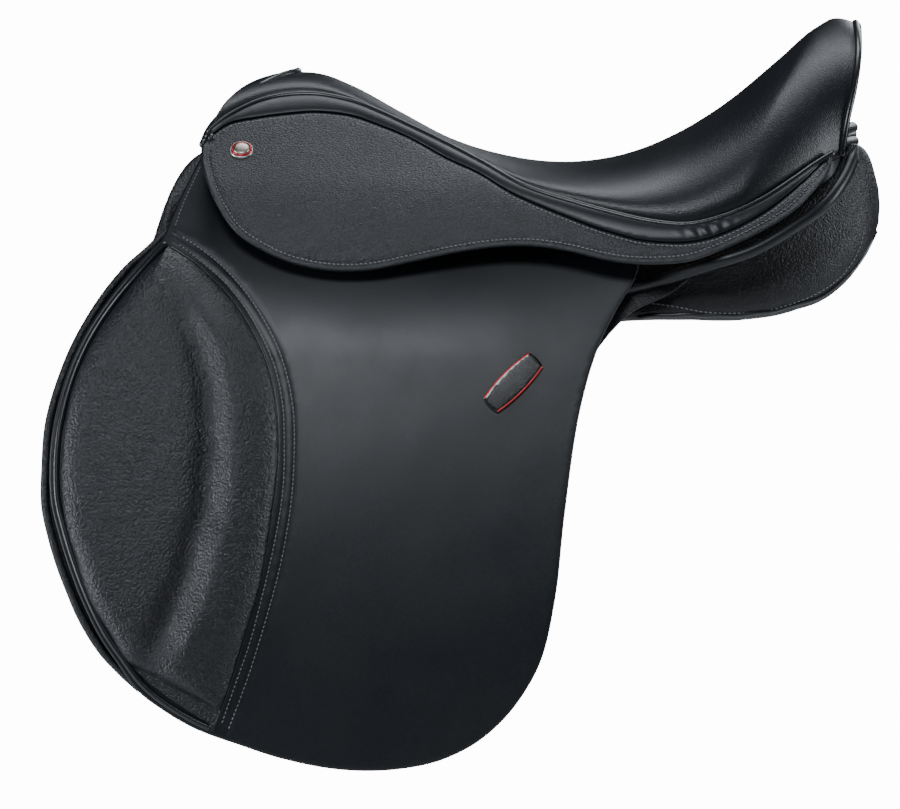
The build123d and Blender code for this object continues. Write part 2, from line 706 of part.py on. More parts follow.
# Tree and metalwork
tree = make_tree()
save(tree, "tree")
save(make_gullet_plate(), "gullet_plate")
save(make_screws(), "gullet_screws")
save_sides(make_stirrup_bar(), "stirrup_bar")
save_sides(make_catch(), "bar_catch")
save(both_sides(normal_peg(*CATCH_PIN, 6.8, 13.9, 1.7)), "catch_pins")
with BuildPart() as rivets:
    for x, z in RIVET_PLACES:
        add(both_sides(normal_peg(x, z, -13, -3.9, 2.1)))
save(rivets.part, "bar_rivets")

# Webs, girth straps and guards
web_long = strip(TREE_TOP, -222, 150, 0.3, 2) & slab(-222, 150, -26, 26, 0, 200)
web_front, web_rear = make_web(-168, -132), make_web(-124, -62)
save(web_long, "seat_web")
save(web_front, "girth_web_front")
save(web_rear, "girth_web_rear")
for number, place in enumerate(STRAP_PLACES):
    save_sides(make_strap(place), f"girth_strap_{number + 1}")
save_sides(side_layer(BUCKLE_GUARD) & slab(-176, -50, -SIDE_REACH, -1, -75, 10), "buckle_guard")

# Flaps with their pads
cord = tube(on_flap(FLAP_CORD, 1.8), 1.5)
save_sides(make_flap_upper(), "flap_upper")
save_sides(side_layer(FLAP) & flap_outline(), "flap")
save_sides(cord, "flap_cord")
save_sides(side_layer((0.3, 11)) & side_prism(PAD_FRONT, PAD_HEM, PAD_GROOVE), "knee_pad")
save_sides(side_layer((0.3, 17)) & side_prism(ROLL_FRONT, ROLL_HEM, ROLL_BACK), "knee_roll")
save_sides(side_layer((0.1, 1.7)) & badge_outline(), "badge")
sweat_roll = tube(on_flap(SWEAT_FRONT, -15.2), 3)
save_sides(make_sweat_flap(tube(on_flap(SWEAT_FRONT, -15.2), 3 + SEAM_GAP)), "sweat_flap")
save_sides(sweat_roll, "sweat_roll")

# Panel
panel = make_panel()
save_sides(panel, "panel")
save(both_sides(side_layer(POINT_POCKET) & slab(-250, -165, -SIDE_REACH, -1, -32, 20)), "point_pockets")

# Skirts with their studs
welt = tube(on_skirt(trim(SEAT_EDGE, -250, 173), WELT_RADIUS), WELT_RADIUS)
band, skirt_upper, skirt = make_skirts()
stud_hole = skirt_peg(*STUD, -1, 9, 1.35)
with BuildPart() as skirt_band:
    add(both_sides(band))
    add(head_cut(0.4), mode=Mode.SUBTRACT)
save(skirt_band.part, "skirt_bands")
save_sides(skirt_upper - stud_hole, "skirt_upper")
save_sides(skirt, "skirt")
ring = skirt_peg(*STUD, STUD_FOOT, 5.6, 7.5) - skirt_peg(*STUD, 3, 6, 5.3)
cap = skirt_peg(*STUD, STUD_FOOT, 7, 5.2) + skirt_peg(*STUD, 0, 4, 1.2)
save(both_sides(ring), "stud_rings")
save(both_sides(cap), "stud_caps")
save(both_sides(welt), "seat_welts")

# Seat
with BuildPart() as cover:
    add(seat_body(0))
    add(seat_body(COVER_THICKNESS, 3), mode=Mode.SUBTRACT)
    add(head_cut(4.6), mode=Mode.SUBTRACT)
    add(rear_cut(RIM_DEPTH), mode=Mode.SUBTRACT)
save(cover.part, "seat_cover")
tree_room = strip(TREE_TOP, -270, 190, -120, 122.5) & plan_prism(TREE_PLAN, 2)
with BuildPart() as foam:
    add(seat_body(COVER_THICKNESS + 0.3))
    add(head_cut(5), mode=Mode.SUBTRACT)
    add(rear_cut(RIM_DEPTH + 0.4), mode=Mode.SUBTRACT)
    add(tree_room, mode=Mode.SUBTRACT)
    for inside in (tree, web_front, web_rear):
        add(inside, mode=Mode.SUBTRACT)
save(foam.part, "seat_foam")
back_sheet = rim_profile(-3.5) & rear_cut(RIM_DEPTH - 0.2)
with BuildPart() as back:
    add(back_sheet)
    add(rear_cut(0), mode=Mode.SUBTRACT)
save(back.part, "cantle_back")
save(tube(rim_path(1.2), 3), "cantle_welt")
save(make_facing(), "pommel_facing")
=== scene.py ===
"""Looks of the English saddle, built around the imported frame. Lengths here are millimetres until a mesh is made."""

import math

import bmesh
import bpy
import numpy as np
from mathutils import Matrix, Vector
from mathutils.geometry import delaunay_2d_cdt


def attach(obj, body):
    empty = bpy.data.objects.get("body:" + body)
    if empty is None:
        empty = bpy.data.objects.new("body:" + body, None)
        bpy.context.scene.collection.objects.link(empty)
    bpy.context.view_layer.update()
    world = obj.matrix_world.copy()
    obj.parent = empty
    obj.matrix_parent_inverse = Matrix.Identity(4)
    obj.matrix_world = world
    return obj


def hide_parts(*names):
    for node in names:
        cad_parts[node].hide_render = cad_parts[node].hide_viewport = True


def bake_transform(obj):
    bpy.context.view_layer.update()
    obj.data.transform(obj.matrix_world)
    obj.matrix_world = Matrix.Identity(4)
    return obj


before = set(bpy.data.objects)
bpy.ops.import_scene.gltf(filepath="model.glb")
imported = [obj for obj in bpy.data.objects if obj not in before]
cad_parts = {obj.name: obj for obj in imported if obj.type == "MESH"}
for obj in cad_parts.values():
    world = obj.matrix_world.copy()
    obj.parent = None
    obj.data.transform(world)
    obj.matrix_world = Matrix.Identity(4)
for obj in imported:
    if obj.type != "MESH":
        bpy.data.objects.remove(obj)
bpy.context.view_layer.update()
FINE = 1.0
ON_RIM = 1e-3


# ---- side profiles, the same ones that the frame follows ----
def half_width(z, o=0.0):
    z, o = np.asarray(z, float), np.asarray(o, float)
    s, m = math.radians(39.5), math.radians(17.5)
    bw, bz = 121 + o * math.cos(s), 24 + o * math.sin(s)
    r1, r2 = 280 + o, 1090 + o
    tz = bz - r1 * (math.sin(s) - math.sin(m))
    tw = bw + r1 * (math.cos(m) - math.cos(s))
    a1 = np.arcsin(np.clip(math.sin(s) - (bz - z) / r1, -1, 1))
    a2 = np.arcsin(np.clip(math.sin(m) - (tz - z) / r2, -1, 1))
    low = tw + r2 * (np.cos(a2) - math.cos(m))
    mid = bw + r1 * (np.cos(a1) - math.cos(s))
    return np.where(z >= bz, bw - (z - bz) * math.tan(s), np.where(z >= tz, mid, low))


def ease(t):
    t = np.clip(t, 0, 1)
    return t * t * (3 - 2 * t)


def flap_side(x, z, o=0.0):
    """The flap's hang: the side profile, slightly cupped from front to rear below the skirt."""
    x, z = np.asarray(x, float), np.asarray(z, float)
    u = (x + 135) / 190
    return half_width(z, o + (2.6 - 6.0 * np.clip(u * u, 0, 1.5)) * ease((2 - z) / 70))


def under_side(x, z, o=0.0):
    return half_width(z, o)


def skirt_side(x, z, o=0.0):
    x, z, o = np.asarray(x, float), np.asarray(z, float), np.asarray(o, float)
    s = math.radians(46)
    w, bend, r = 108.5 + o * math.cos(s), 55 + o * math.sin(s), 139 + o
    flare = 0.035 * (x + 400)
    a = np.arcsin(np.clip(math.sin(s) - (bend - z) / r, -1, 1))
    return np.where(z >= bend, w - (z - bend) * math.tan(s), w + r * (np.cos(a) - math.cos(s))) + flare


def height_on(curve, x):
    """Height of a smooth curve through (x, height) points."""
    p = np.array(sorted(curve), float)
    x = np.clip(np.asarray(x, float), p[0, 0], p[-1, 0])
    i = np.clip(np.searchsorted(p[:, 0], x) - 1, 0, len(p) - 2)
    m = np.gradient(p[:, 1], p[:, 0])
    x0, x1, z0, z1 = p[i, 0], p[i + 1, 0], p[i, 1], p[i + 1, 1]
    t, h = (x - x0) / (x1 - x0), x1 - x0
    return ((2 * t**3 - 3 * t**2 + 1) * z0 + (t**3 - 2 * t**2 + t) * h * m[i]
            + (3 * t**2 - 2 * t**3) * z1 + (t**3 - t**2) * h * m[i + 1])


# ---- curves ----
def smooth(points, step=2.0):
    """Evenly spaced points along a smooth curve through the given ones, in 2 or 3 dimensions."""
    p = np.array(points, float)
    if len(p) == 2:
        n = max(2, int(np.linalg.norm(p[1] - p[0]) / step) + 1)
        return p[0] + (p[1] - p[0]) * np.linspace(0, 1, n)[:, None]
    ext = np.vstack([2 * p[0] - p[1], p, 2 * p[-1] - p[-2]])
    knots = np.concatenate([[0], np.cumsum(np.sqrt(np.linalg.norm(np.diff(ext, axis=0), axis=1)) + 1e-9)])
    out = []
    for i in range(1, len(ext) - 2):
        t = np.linspace(knots[i], knots[i + 1], 24, endpoint=False)[:, None]
        k = knots[i - 1:i + 3]
        q = ext[i - 1:i + 3]
        a1 = (k[1] - t) / (k[1] - k[0]) * q[0] + (t - k[0]) / (k[1] - k[0]) * q[1]
        a2 = (k[2] - t) / (k[2] - k[1]) * q[1] + (t - k[1]) / (k[2] - k[1]) * q[2]
        a3 = (k[3] - t) / (k[3] - k[2]) * q[2] + (t - k[2]) / (k[3] - k[2]) * q[3]
        b1 = (k[2] - t) / (k[2] - k[0]) * a1 + (t - k[0]) / (k[2] - k[0]) * a2
        b2 = (k[3] - t) / (k[3] - k[1]) * a2 + (t - k[1]) / (k[3] - k[1]) * a3
        out.append((k[2] - t) / (k[2] - k[1]) * b1 + (t - k[1]) / (k[2] - k[1]) * b2)
    dense = np.vstack(out + [p[-1:]])
    return even(dense, step)


def even(dense, step):
    run = np.concatenate([[0], np.cumsum(np.linalg.norm(np.diff(dense, axis=0), axis=1))])
    n = max(2, int(round(run[-1] / step)) + 1)
    at = np.linspace(0, run[-1], n)
    return np.stack([np.interp(at, run, dense[:, k]) for k in range(dense.shape[1])], 1)


def loop(runs, step):
    """A closed outline from runs of points that follow one another, each smooth in itself."""
    parts = [smooth(r, step)[:-1] for r in runs]
    pts = np.vstack(parts)
    area = 0.5 * np.sum(pts[:, 0] * np.roll(pts[:, 1], -1) - np.roll(pts[:, 0], -1) * pts[:, 1])
    return pts if area > 0 else pts[::-1]


def to_line(points, line, closed=False):
    """Distance of 2-D points from a line of points."""
    a = np.asarray(line, float)
    b = np.roll(a, -1, 0) if closed else a[1:]
    a = a if closed else a[:-1]
    d = b - a
    l2 = np.maximum((d * d).sum(1), 1e-12)
    best = np.full(len(points), 1e9)
    for i in range(0, len(points), 2000):
        q = points[i:i + 2000, None, :] - a[None]
        t = np.clip((q * d[None]).sum(2) / l2, 0, 1)
        r = q - t[..., None] * d[None]
        best[i:i + 2000] = np.sqrt((r * r).sum(2)).min(1)
    return best


def inside(points, outline):
    x, z = points[:, 0], points[:, 1]
    hit = np.zeros(len(points), bool)
    a, b = outline, np.roll(outline, -1, 0)
    for (x0, z0), (x1, z1) in zip(a, b):
        if z0 == z1:
            continue
        cross = (z0 > z) != (z1 > z)
        hit ^= cross & (x < (x1 - x0) * (z - z0) / (z1 - z0) + x0)
    return hit


def beside(line, gap):
    """A line moved sideways in 2-D, to its left for a positive gap."""
    t = np.gradient(line, axis=0)
    t /= np.maximum(np.linalg.norm(t, axis=1, keepdims=True), 1e-9)
    return line + gap * np.stack([-t[:, 1], t[:, 0]], 1)


# ---- meshes ----
def keep_rest(mesh):
    """Stores where each point is at rest, for the materials."""
    rest = mesh.attributes.new("rest", "FLOAT_VECTOR", "POINT")
    co = np.zeros(len(mesh.vertices) * 3, np.float32)
    mesh.vertices.foreach_get("co", co)
    rest.data.foreach_set("vector", co)


def mesh_of(name, verts, faces, mat, flip=False):
    v = np.array(verts, float) / 1000
    if flip:
        v = v * (1, -1, 1)
    mesh = bpy.data.meshes.new(name)
    mesh.from_pydata(v.tolist(), [], [list(map(int, f)) for f in faces])
    mesh.validate()
    bm = bmesh.new()
    bm.from_mesh(mesh)
    bmesh.ops.remove_doubles(bm, verts=bm.verts, dist=1e-6)
    bmesh.ops.recalc_face_normals(bm, faces=bm.faces)
    bm.to_mesh(mesh)
    bm.free()
    mesh.shade_smooth()
    keep_rest(mesh)
    obj = bpy.data.objects.new(name, mesh)
    bpy.context.scene.collection.objects.link(obj)
    obj.data.materials.append(mat)
    return obj


def waves(x, z, size, amount, seed):
    """Slow unevenness, as a sum of a few seeded waves."""
    r = np.random.default_rng(seed)
    total = np.zeros_like(np.asarray(x, float))
    for k in range(7):
        a, f, p = r.uniform(0, 2 * math.pi), r.uniform(0.5, 1.6) / size, r.uniform(0, 6.28)
        total += np.sin((x * math.cos(a) + z * math.sin(a)) * f * 2 * math.pi + p) / 7
    return amount * total


def fill(outline, spacing, lines=(), rings=()):
    """Triangles inside an outline, with extra rows of points along the given lines and rings inside its edge."""
    extra = [beside(np.vstack([outline, outline[:2]]), g)[:-2] for g in rings]
    for line in lines:
        extra.append(line)
    lo, hi = outline.min(0), outline.max(0)
    gx = np.arange(lo[0], hi[0], spacing)
    gz = np.arange(lo[1], hi[1], spacing * 0.866)
    grid = np.array([(x + (j % 2) * spacing / 2, z) for j, z in enumerate(gz) for x in gx])
    free = spacing * 0.55
    keep = inside(grid, outline)
    grid = grid[keep]
    grid = grid[to_line(grid, outline, True) > max(free, (max(rings) if rings else 0) + free)]
    for line in lines:
        grid = grid[to_line(grid, line) > free]
    rows = []
    for i, e in enumerate(extra):
        near = to_line(e, outline, True)
        ok = inside(e, outline) & (near > (rings[i] * 0.9 if i < len(rings) else 0.4))
        e = e[ok]
        if i >= len(rings) and rings:
            ok = to_line(e, outline, True) > max(rings) + 0.3
            e = e[ok]
        rows.append(e)
    pts = np.vstack([outline] + rows + [grid])
    n = len(outline)
    verts, _, faces, _, _, _ = delaunay_2d_cdt(
        [Vector(p) for p in pts], [(i, (i + 1) % n) for i in range(n)], [], 1, 1e-4)
    out = np.array([tuple(v) for v in verts], float)
    edge = to_line(out, outline, True)
    return out, [tuple(f) for f in faces], edge


def on(side, line, depth):
    """Near-side 3-D points of a side view line on a layer."""
    x, z = line[:, 0], line[:, 1]
    return np.stack([x, -side(x, z, depth), z], 1)


def two_sided(upper, lower, faces, rim):
    """Closes two layers of the same points, which are one where rim is true."""
    n = len(upper)
    index = np.where(rim, np.arange(n), np.arange(n) + n)
    verts = np.vstack([upper, lower])
    all_faces = list(faces) + [tuple(index[list(f)])[::-1] for f in faces]
    used = sorted(set(i for f in all_faces for i in f))
    place = {u: k for k, u in enumerate(used)}
    return verts[used], [tuple(place[i] for i in f) for f in all_faces]


def level(depth):
    """A depth function that is the same everywhere."""
    return lambda p, far: np.full(len(p), depth)


def sheet(outline, side, out, inn, spacing=3.0, edge=1.6, lines=(), rings=None):
    """A near-side sheet between two depth functions of (points, distance from the edge), with a rounded edge."""
    rings = rings if rings is not None else tuple(edge * k for k in (0.1, 0.35, 0.7, 1.0))
    pts, faces, far = fill(outline, spacing * FINE, lines, rings)
    top, low = out(pts, far), inn(pts, far)
    mid = (top + low) / 2
    t = np.clip(far / edge, 0, 1)
    share = np.sqrt(np.clip(1 - (1 - t) ** 2, 0, 1))
    top, low = mid + (top - mid) * share, mid + (low - mid) * share
    return two_sided(on(side, pts, top), on(side, pts, low), faces, far < ON_RIM)


def tube(points, radius, sides=14):
    """A round cord along 3-D points; radius is a number or one per point."""
    p = np.asarray(points, float)
    r = np.broadcast_to(np.asarray(radius, float), (len(p),)).copy()
    t = np.gradient(p, axis=0)
    t /= np.maximum(np.linalg.norm(t, axis=1, keepdims=True), 1e-9)
    up = np.array([0.0, 0.0, 1.0]) if abs(t[0, 2]) < 0.9 else np.array([0.0, 1.0, 0.0])
    verts, faces = [], []
    n = np.cross(t[0], up)
    for i in range(len(p)):
        n = n - t[i] * n.dot(t[i])
        n /= np.linalg.norm(n)
        b = np.cross(t[i], n)
        for k in range(sides):
            a = 2 * math.pi * k / sides
            verts.append(p[i] + r[i] * (math.cos(a) * n + math.sin(a) * b))
    for i in range(len(p) - 1):
        for k in range(sides):
            a, c = i * sides + k, i * sides + (k + 1) % sides
            faces.append((a, c, c + sides, a + sides))
    for i, step in ((0, -1), (len(p) - 1, 1)):
        cap = len(verts)
        verts.append(p[i] + t[i] * step * r[i] * 0.6)
        for k in range(sides):
            faces.append((i * sides + k, i * sides + (k + 1) % sides, cap))
    return np.array(verts), faces


def grid_mesh(rows):
    """Faces over rows of points of equal length."""
    rows = np.asarray(rows, float)
    m, n = rows.shape[:2]
    faces = [(i * n + j, i * n + j + 1, (i + 1) * n + j + 1, (i + 1) * n + j)
             for i in range(m - 1) for j in range(n - 1)]
    return rows.reshape(-1, 3), faces


def shell(top, low):
    """A closed sheet between two grids of points of the same shape."""
    rows, cols = np.asarray(top).shape[:2]
    tv, tf = grid_mesh(top)
    lv, lf = grid_mesh(low)
    ring = list(range(cols)) + [i * cols + cols - 1 for i in range(1, rows)]
    ring += [(rows - 1) * cols + j for j in range(cols - 2, -1, -1)]
    ring += [i * cols for i in range(rows - 2, 0, -1)]
    n, m = len(tv), len(ring)
    side = [(ring[k], ring[(k + 1) % m], ring[(k + 1) % m] + n, ring[k] + n) for k in range(m)]
    return np.vstack([tv, lv]), tf + [tuple(i + n for i in f)[::-1] for f in lf] + side


def rounded_box(x0, x1, z0, z1, radius, step=1.2):
    """A side view outline of a rectangle with round corners."""
    pts = []
    for cx, cz, a0 in ((x1 - radius, z1 - radius, 0), (x0 + radius, z1 - radius, 90),
                       (x0 + radius, z0 + radius, 180), (x1 - radius, z0 + radius, 270)):
        for a in np.linspace(a0, a0 + 90, 7):
            pts.append((cx + radius * math.cos(math.radians(a)), cz + radius * math.sin(math.radians(a))))
    return even(np.array(pts + pts[:1]), step)[:-1]


def join(*meshes):
    verts, faces, base = [], [], 0
    for v, f in meshes:
        verts.append(v)
        faces += [tuple(i + base for i in q) for q in f]
        base += len(v)
    return np.vstack(verts), faces


def stitches(side, line, depth, pitch=3.2, length=2.3, radius=0.42, tilt=0.12):
    """A row of thread stitches along a side view line on a layer."""
    base = on(side, line, depth)
    over = on(side, line, depth + 1.0)
    run = np.concatenate([[0], np.cumsum(np.linalg.norm(np.diff(base, axis=0), axis=1))])
    at = np.arange(pitch / 2, run[-1] - pitch / 3, pitch)
    pos = np.stack([np.interp(at, run, base[:, k]) for k in range(3)], 1)
    top = np.stack([np.interp(at, run, over[:, k]) for k in range(3)], 1)
    ahead = np.stack([np.interp(at + 0.6, run, base[:, k]) for k in range(3)], 1)
    behind = np.stack([np.interp(at - 0.6, run, base[:, k]) for k in range(3)], 1)
    t = ahead - behind
    t /= np.linalg.norm(t, axis=1, keepdims=True)
    n = top - pos
    n /= np.linalg.norm(n, axis=1, keepdims=True)
    b = np.cross(t, n)
    t = t + tilt * b
    t /= np.linalg.norm(t, axis=1, keepdims=True)
    b = np.cross(t, n)
    us, sides = np.array([-0.5, -0.4, -0.18, 0.18, 0.4, 0.5]), 7
    rr = radius * np.array([0.25, 0.8, 1.0, 1.0, 0.8, 0.25])
    sink = radius * np.array([-0.9, -0.15, 0.3, 0.3, -0.15, -0.9])
    verts = []
    for u, r, s in zip(us, rr, sink):
        for k in range(sides):
            a = 2 * math.pi * k / sides
            verts.append(pos + t * (u * length) + n * (s + r * math.sin(a) * 0.85) + b * (r * math.cos(a)))
    verts = np.stack(verts, 1)
    one = [(i * sides + k, i * sides + (k + 1) % sides, (i + 1) * sides + (k + 1) % sides, (i + 1) * sides + k)
           for i in range(len(us) - 1) for k in range(sides)]
    one += [tuple(range(sides)), tuple(range(5 * sides, 6 * sides))[::-1]]
    m = len(us) * sides
    faces = [tuple(i + q * m for i in f) for q in range(len(pos)) for f in one]
    return verts.reshape(-1, 3), faces


def groove(points, line, depth=0.45, width=0.9):
    """Dent that a row of stitches pulls into the leather."""
    d = to_line(points, line)
    return -depth * np.exp(-(d / width) ** 2)


def rows_beside(line, gaps=(0, -0.9, 0.9, -1.9, 1.9)):
    return [line if g == 0 else beside(line, g) for g in gaps]


def both(name, mesh, mat, near_body, off_body, replaces=(), blend=None):
    """Makes the near and off pieces of a mesh and ties each to its body; with a blend given, it leaves them loose in
    place instead.
    """
    made = []
    for side, body in (("near", near_body), ("off", off_body)):
        o = mesh_of(f"{name}_{side}", mesh[0], mesh[1], mat, flip=side == "off")
        if blend:
            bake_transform(o)
        else:
            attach(o, body)
        nodes = [f"{n}_{side}" for n in replaces]
        if nodes:
            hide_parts(*nodes)
        made.append(o)
    return made


# ---- materials ----
def node(tree, kind, **settings):
    n = tree.nodes.new(kind)
    for k, v in settings.items():
        if k in n.inputs.keys():
            n.inputs[k].default_value = v
        else:
            setattr(n, k, v)
    return n


def new_material(name, color, rough, spec=0.5, metal=0.0, coat=0.0):
    mat = bpy.data.materials.new(name)
    mat.use_nodes = True
    tree = mat.node_tree
    bsdf = tree.nodes["Principled BSDF"]
    bsdf.inputs["Base Color"].default_value = (*color, 1)
    bsdf.inputs["Roughness"].default_value = rough
    bsdf.inputs["Metallic"].default_value = metal
    bsdf.inputs["Specular IOR Level"].default_value = spec
    bsdf.inputs["Coat Weight"].default_value = coat
    bsdf.inputs["Coat Roughness"].default_value = 0.25
    place = tree.nodes.new("ShaderNodeAttribute")
    place.attribute_name = "rest"
    return mat, tree, bsdf, place.outputs["Vector"]


def texture(tree, kind, vector, **settings):
    n = node(tree, kind, **settings)
    tree.links.new(vector, n.inputs["Vector"])
    return n


def plus(tree, part, share, whole):
    """Adds a share of one value to another."""
    n = node(tree, "ShaderNodeMath", operation="MULTIPLY_ADD")
    n.inputs[1].default_value = share
    tree.links.new(part, n.inputs[0])
    tree.links.new(whole, n.inputs[2])
    return n.outputs[0]


def bump_of(tree, height, depth, normal=None, invert=False):
    """A bump of the given depth in mm, on top of another one where normal is given."""
    n = node(tree, "ShaderNodeBump", Strength=1.0, Distance=depth / 1000, invert=invert)
    tree.links.new(height, n.inputs["Height"])
    if normal:
        tree.links.new(normal, n.inputs["Normal"])
    return n.outputs[0]


def span(tree, value, limits, target):
    """Maps a value from one pair of limits to another."""
    n = node(tree, "ShaderNodeMapRange")
    for name, number in zip(("From Min", "From Max", "To Min", "To Max"), (*limits, *target)):
        n.inputs[name].default_value = number
    tree.links.new(value, n.inputs["Value"])
    return n.outputs[0]


def leather(name, color, rough, grain, depth, stretch=(1, 1, 1), mottle=0.25, spec=0.5, coat=0.0, crease=0.0):
    """Dyed leather: a pebble grain of the given size in mm, pores, and slow changes of tone and polish."""
    mat, tree, bsdf, place = new_material(name, color, rough, spec, coat=coat)
    links = tree.links
    scale = texture(tree, "ShaderNodeMapping", place, Scale=stretch).outputs[0]
    warp = texture(tree, "ShaderNodeTexNoise", scale, Scale=420.0 / grain, Detail=2.0)
    mix = node(tree, "ShaderNodeVectorMath", operation="MULTIPLY_ADD")
    mix.inputs[1].default_value = (grain * 0.0009,) * 3
    links.new(warp.outputs["Color"], mix.inputs[0])
    links.new(scale, mix.inputs[2])
    cell, small = [
        texture(tree, "ShaderNodeTexVoronoi", mix.outputs[0], feature="SMOOTH_F1", Scale=size / grain,
                Smoothness=soft).outputs["Distance"]
        for size, soft in ((1000.0, 0.35), (2300.0, 0.5))]
    pores = texture(tree, "ShaderNodeTexNoise", place, Scale=2600.0, Detail=3.0)
    height = plus(tree, pores.outputs["Fac"], 0.25, plus(tree, small, 0.45, cell))
    normal = bump_of(tree, height, depth, invert=True)
    if crease:
        fold = texture(tree, "ShaderNodeTexNoise", place, Scale=95.0, Detail=5.0, Roughness=0.6)
        normal = bump_of(tree, fold.outputs["Fac"], crease, normal)
    links.new(normal, bsdf.inputs["Normal"])
    tone = texture(tree, "ShaderNodeTexNoise", place, Scale=14.0, Detail=4.0, Roughness=0.55).outputs["Fac"]
    tint = node(tree, "ShaderNodeVectorMath", operation="SCALE")
    tint.inputs[0].default_value = color
    links.new(span(tree, tone, (0, 1), (1 - mottle, 1 + mottle)), tint.inputs["Scale"])
    links.new(tint.outputs[0], bsdf.inputs["Base Color"])
    links.new(span(tree, tone, (0.3, 0.7), (rough * 1.12, rough * 0.88)), bsdf.inputs["Roughness"])
    return mat


def brushed(name, color, rough, scale=(20, 900, 900), metal=1.0, depth=0.02):
    mat, tree, bsdf, place = new_material(name, color, rough, metal=metal)
    stretch = texture(tree, "ShaderNodeMapping", place, Scale=scale)
    noise = texture(tree, "ShaderNodeTexNoise", stretch.outputs[0], Scale=1.0, Detail=3.0)
    tree.links.new(bump_of(tree, noise.outputs["Fac"], depth), bsdf.inputs["Normal"])
    return mat


INK = (0.0075, 0.0088, 0.0118)
smooth_leather = leather("leather_smooth", INK, 0.38, 0.55, 0.035, mottle=0.3, spec=0.45)
seat_leather = leather("leather_seat", INK, 0.36, 1.1, 0.12, mottle=0.2, spec=0.5)
grain_leather = leather("leather_grain", (0.0082, 0.0092, 0.0118), 0.36, 1.9, 0.5, mottle=0.15, spec=0.55)
skirt_leather = leather("leather_skirt", INK, 0.40, 1.25, 0.30, stretch=(0.75, 1, 1.15), mottle=0.15, spec=0.5)
edge_leather = leather("leather_edge", (0.009, 0.0102, 0.0128), 0.28, 0.6, 0.03, mottle=0.1, spec=0.6)
under_leather = leather("leather_under", (0.0085, 0.009, 0.0112), 0.42, 1.6, 0.4, mottle=0.2, spec=0.45, crease=0.5)
strap_leather = leather("leather_strap", (0.0115, 0.0115, 0.0125), 0.36, 0.7, 0.05, mottle=0.25, spec=0.5)
thread = leather("thread", (0.20, 0.205, 0.215), 0.6, 0.35, 0.05, mottle=0.1, spec=0.4)
steel = brushed("steel", (0.55, 0.55, 0.54), 0.35)
brass = brushed("brass", (0.6, 0.45, 0.2), 0.35)
wood = brushed("beech", (0.42, 0.27, 0.14), 0.55, scale=(30, 260, 260), metal=0.0, depth=0.1)
web_cloth = leather("web_cloth", (0.5, 0.46, 0.36), 0.9, 0.7, 0.25, mottle=0.1, spec=0.2)
foam_mat = leather("foam", (0.62, 0.55, 0.38), 0.95, 0.9, 0.2, mottle=0.1, spec=0.2)
ring_red = brushed("ring_red", (0.42, 0.012, 0.016), 0.28, metal=0.35)
line_red = brushed("line_red", (0.55, 0.02, 0.018), 0.35, metal=0.0)
cap_metal = brushed("cap_metal", (0.42, 0.37, 0.33), 0.38, scale=(60, 700, 700))
gloss_black = leather("badge_black", (0.006, 0.006, 0.0065), 0.16, 0.6, 0.01, mottle=0.2, spec=0.6,
                      coat=0.6)
gloss_black.node_tree.nodes["Principled BSDF"].inputs["Coat Roughness"].default_value = 0.08

# ---- outlines in the side view ----
FLAP_HEM = [
    (-288.5, 13), (-306.6, -5), (-325.2, -27.8), (-341.3, -51.9), (-352.7, -76), (-360.1, -100.1),
    (-364.3, -121.5),
    (-366.1, -145.6), (-364.9, -170), (-360.1, -190), (-352.7, -213.7), (-342.7, -239.2), (-330.6, -263.3),
    (-318.5, -281), (-304, -300.5), (-287.8, -313), (-267.7, -325), (-253.6, -331), (-234.2, -337.6),
    (-207.4, -346.4),
    (-171.5, -354), (-140, -355.8), (-112, -353), (-91, -347.4), (-68, -335.5), (-48.3, -318),
    (-33, -297), (-23.1, -276),
    (-14, -234), (-7.7, -178), (2.8, -108), (15.3, -64.3), (29, -36), (42.7, -12.8), (46, 8)]
FLAP_TOP = [(46, 8), (0, 23), (-50, 36), (-110, 65), (-160, 91), (-205, 104), (-250, 92), (-259, 77.5)]
FLAP_FRONT = [(-259, 77.5), (-264.6, 67), (-276.5, 42.5), (-284.5, 23), (-288.5, 13)]
FLAP_CORD = [(-286.5, 9.5), (-303.5, -9.5), (-321.5, -31), (-337, -54.5), (-348, -78), (-355.3, -101.5),
             (-359.3, -122),
             (-361, -145.6), (-359.8, -169.5), (-355.2, -188.5), (-348, -211.5), (-338.3, -236.3),
             (-326.5, -260),
             (-314.5, -277.5), (-301, -295.5), (-285.5, -308.5), (-266, -320.3), (-254, -326)]
PAD_LEFT = [(-284.5, 8), (-301.1, -9), (-317.2, -29.1), (-330.6, -47.8), (-342.7, -70.6), (-351.4, -94.7),
            (-356, -118.9),
            (-358.1, -145.6), (-357.4, -165), (-354.7, -184.3), (-346.7, -211.1), (-337.3, -237.9),
            (-323.9, -260.6),
            (-310.5, -280.8), (-300, -292)]
PAD_HEM = [(-300, -292), (-290, -300), (-272, -312.5), (-254, -323.5)]
PAD_SEAM = [(-284.5, 8), (-266.4, -3.6), (-254.2, -14.4), (-240.9, -27.8), (-228.8, -45.2),
            (-220.8, -59.9), (-214.8, -74.6),
            (-210.8, -89.4), (-208.3, -105.4), (-207, -121.5), (-207, -139), (-208.7, -159), (-210.8, -173.6),
            (-214.8, -200.4), (-220.2, -231.2), (-227.5, -255.3), (-234.2, -276.7), (-242.2, -302.2),
            (-252.9, -329.6)]
PAD_GROOVE = [(-290, -14), (-279.7, -31.8), (-267.7, -54.5), (-260.3, -73.3), (-256.3, -92.1), (-254.9, -110.8),
              (-254.2, -132.2), (-255.6, -155), (-258, -177), (-262.3, -188.3), (-271.7, -223.2),
              (-281, -247.2),
              (-289.1, -267.3), (-295.8, -283.4)]
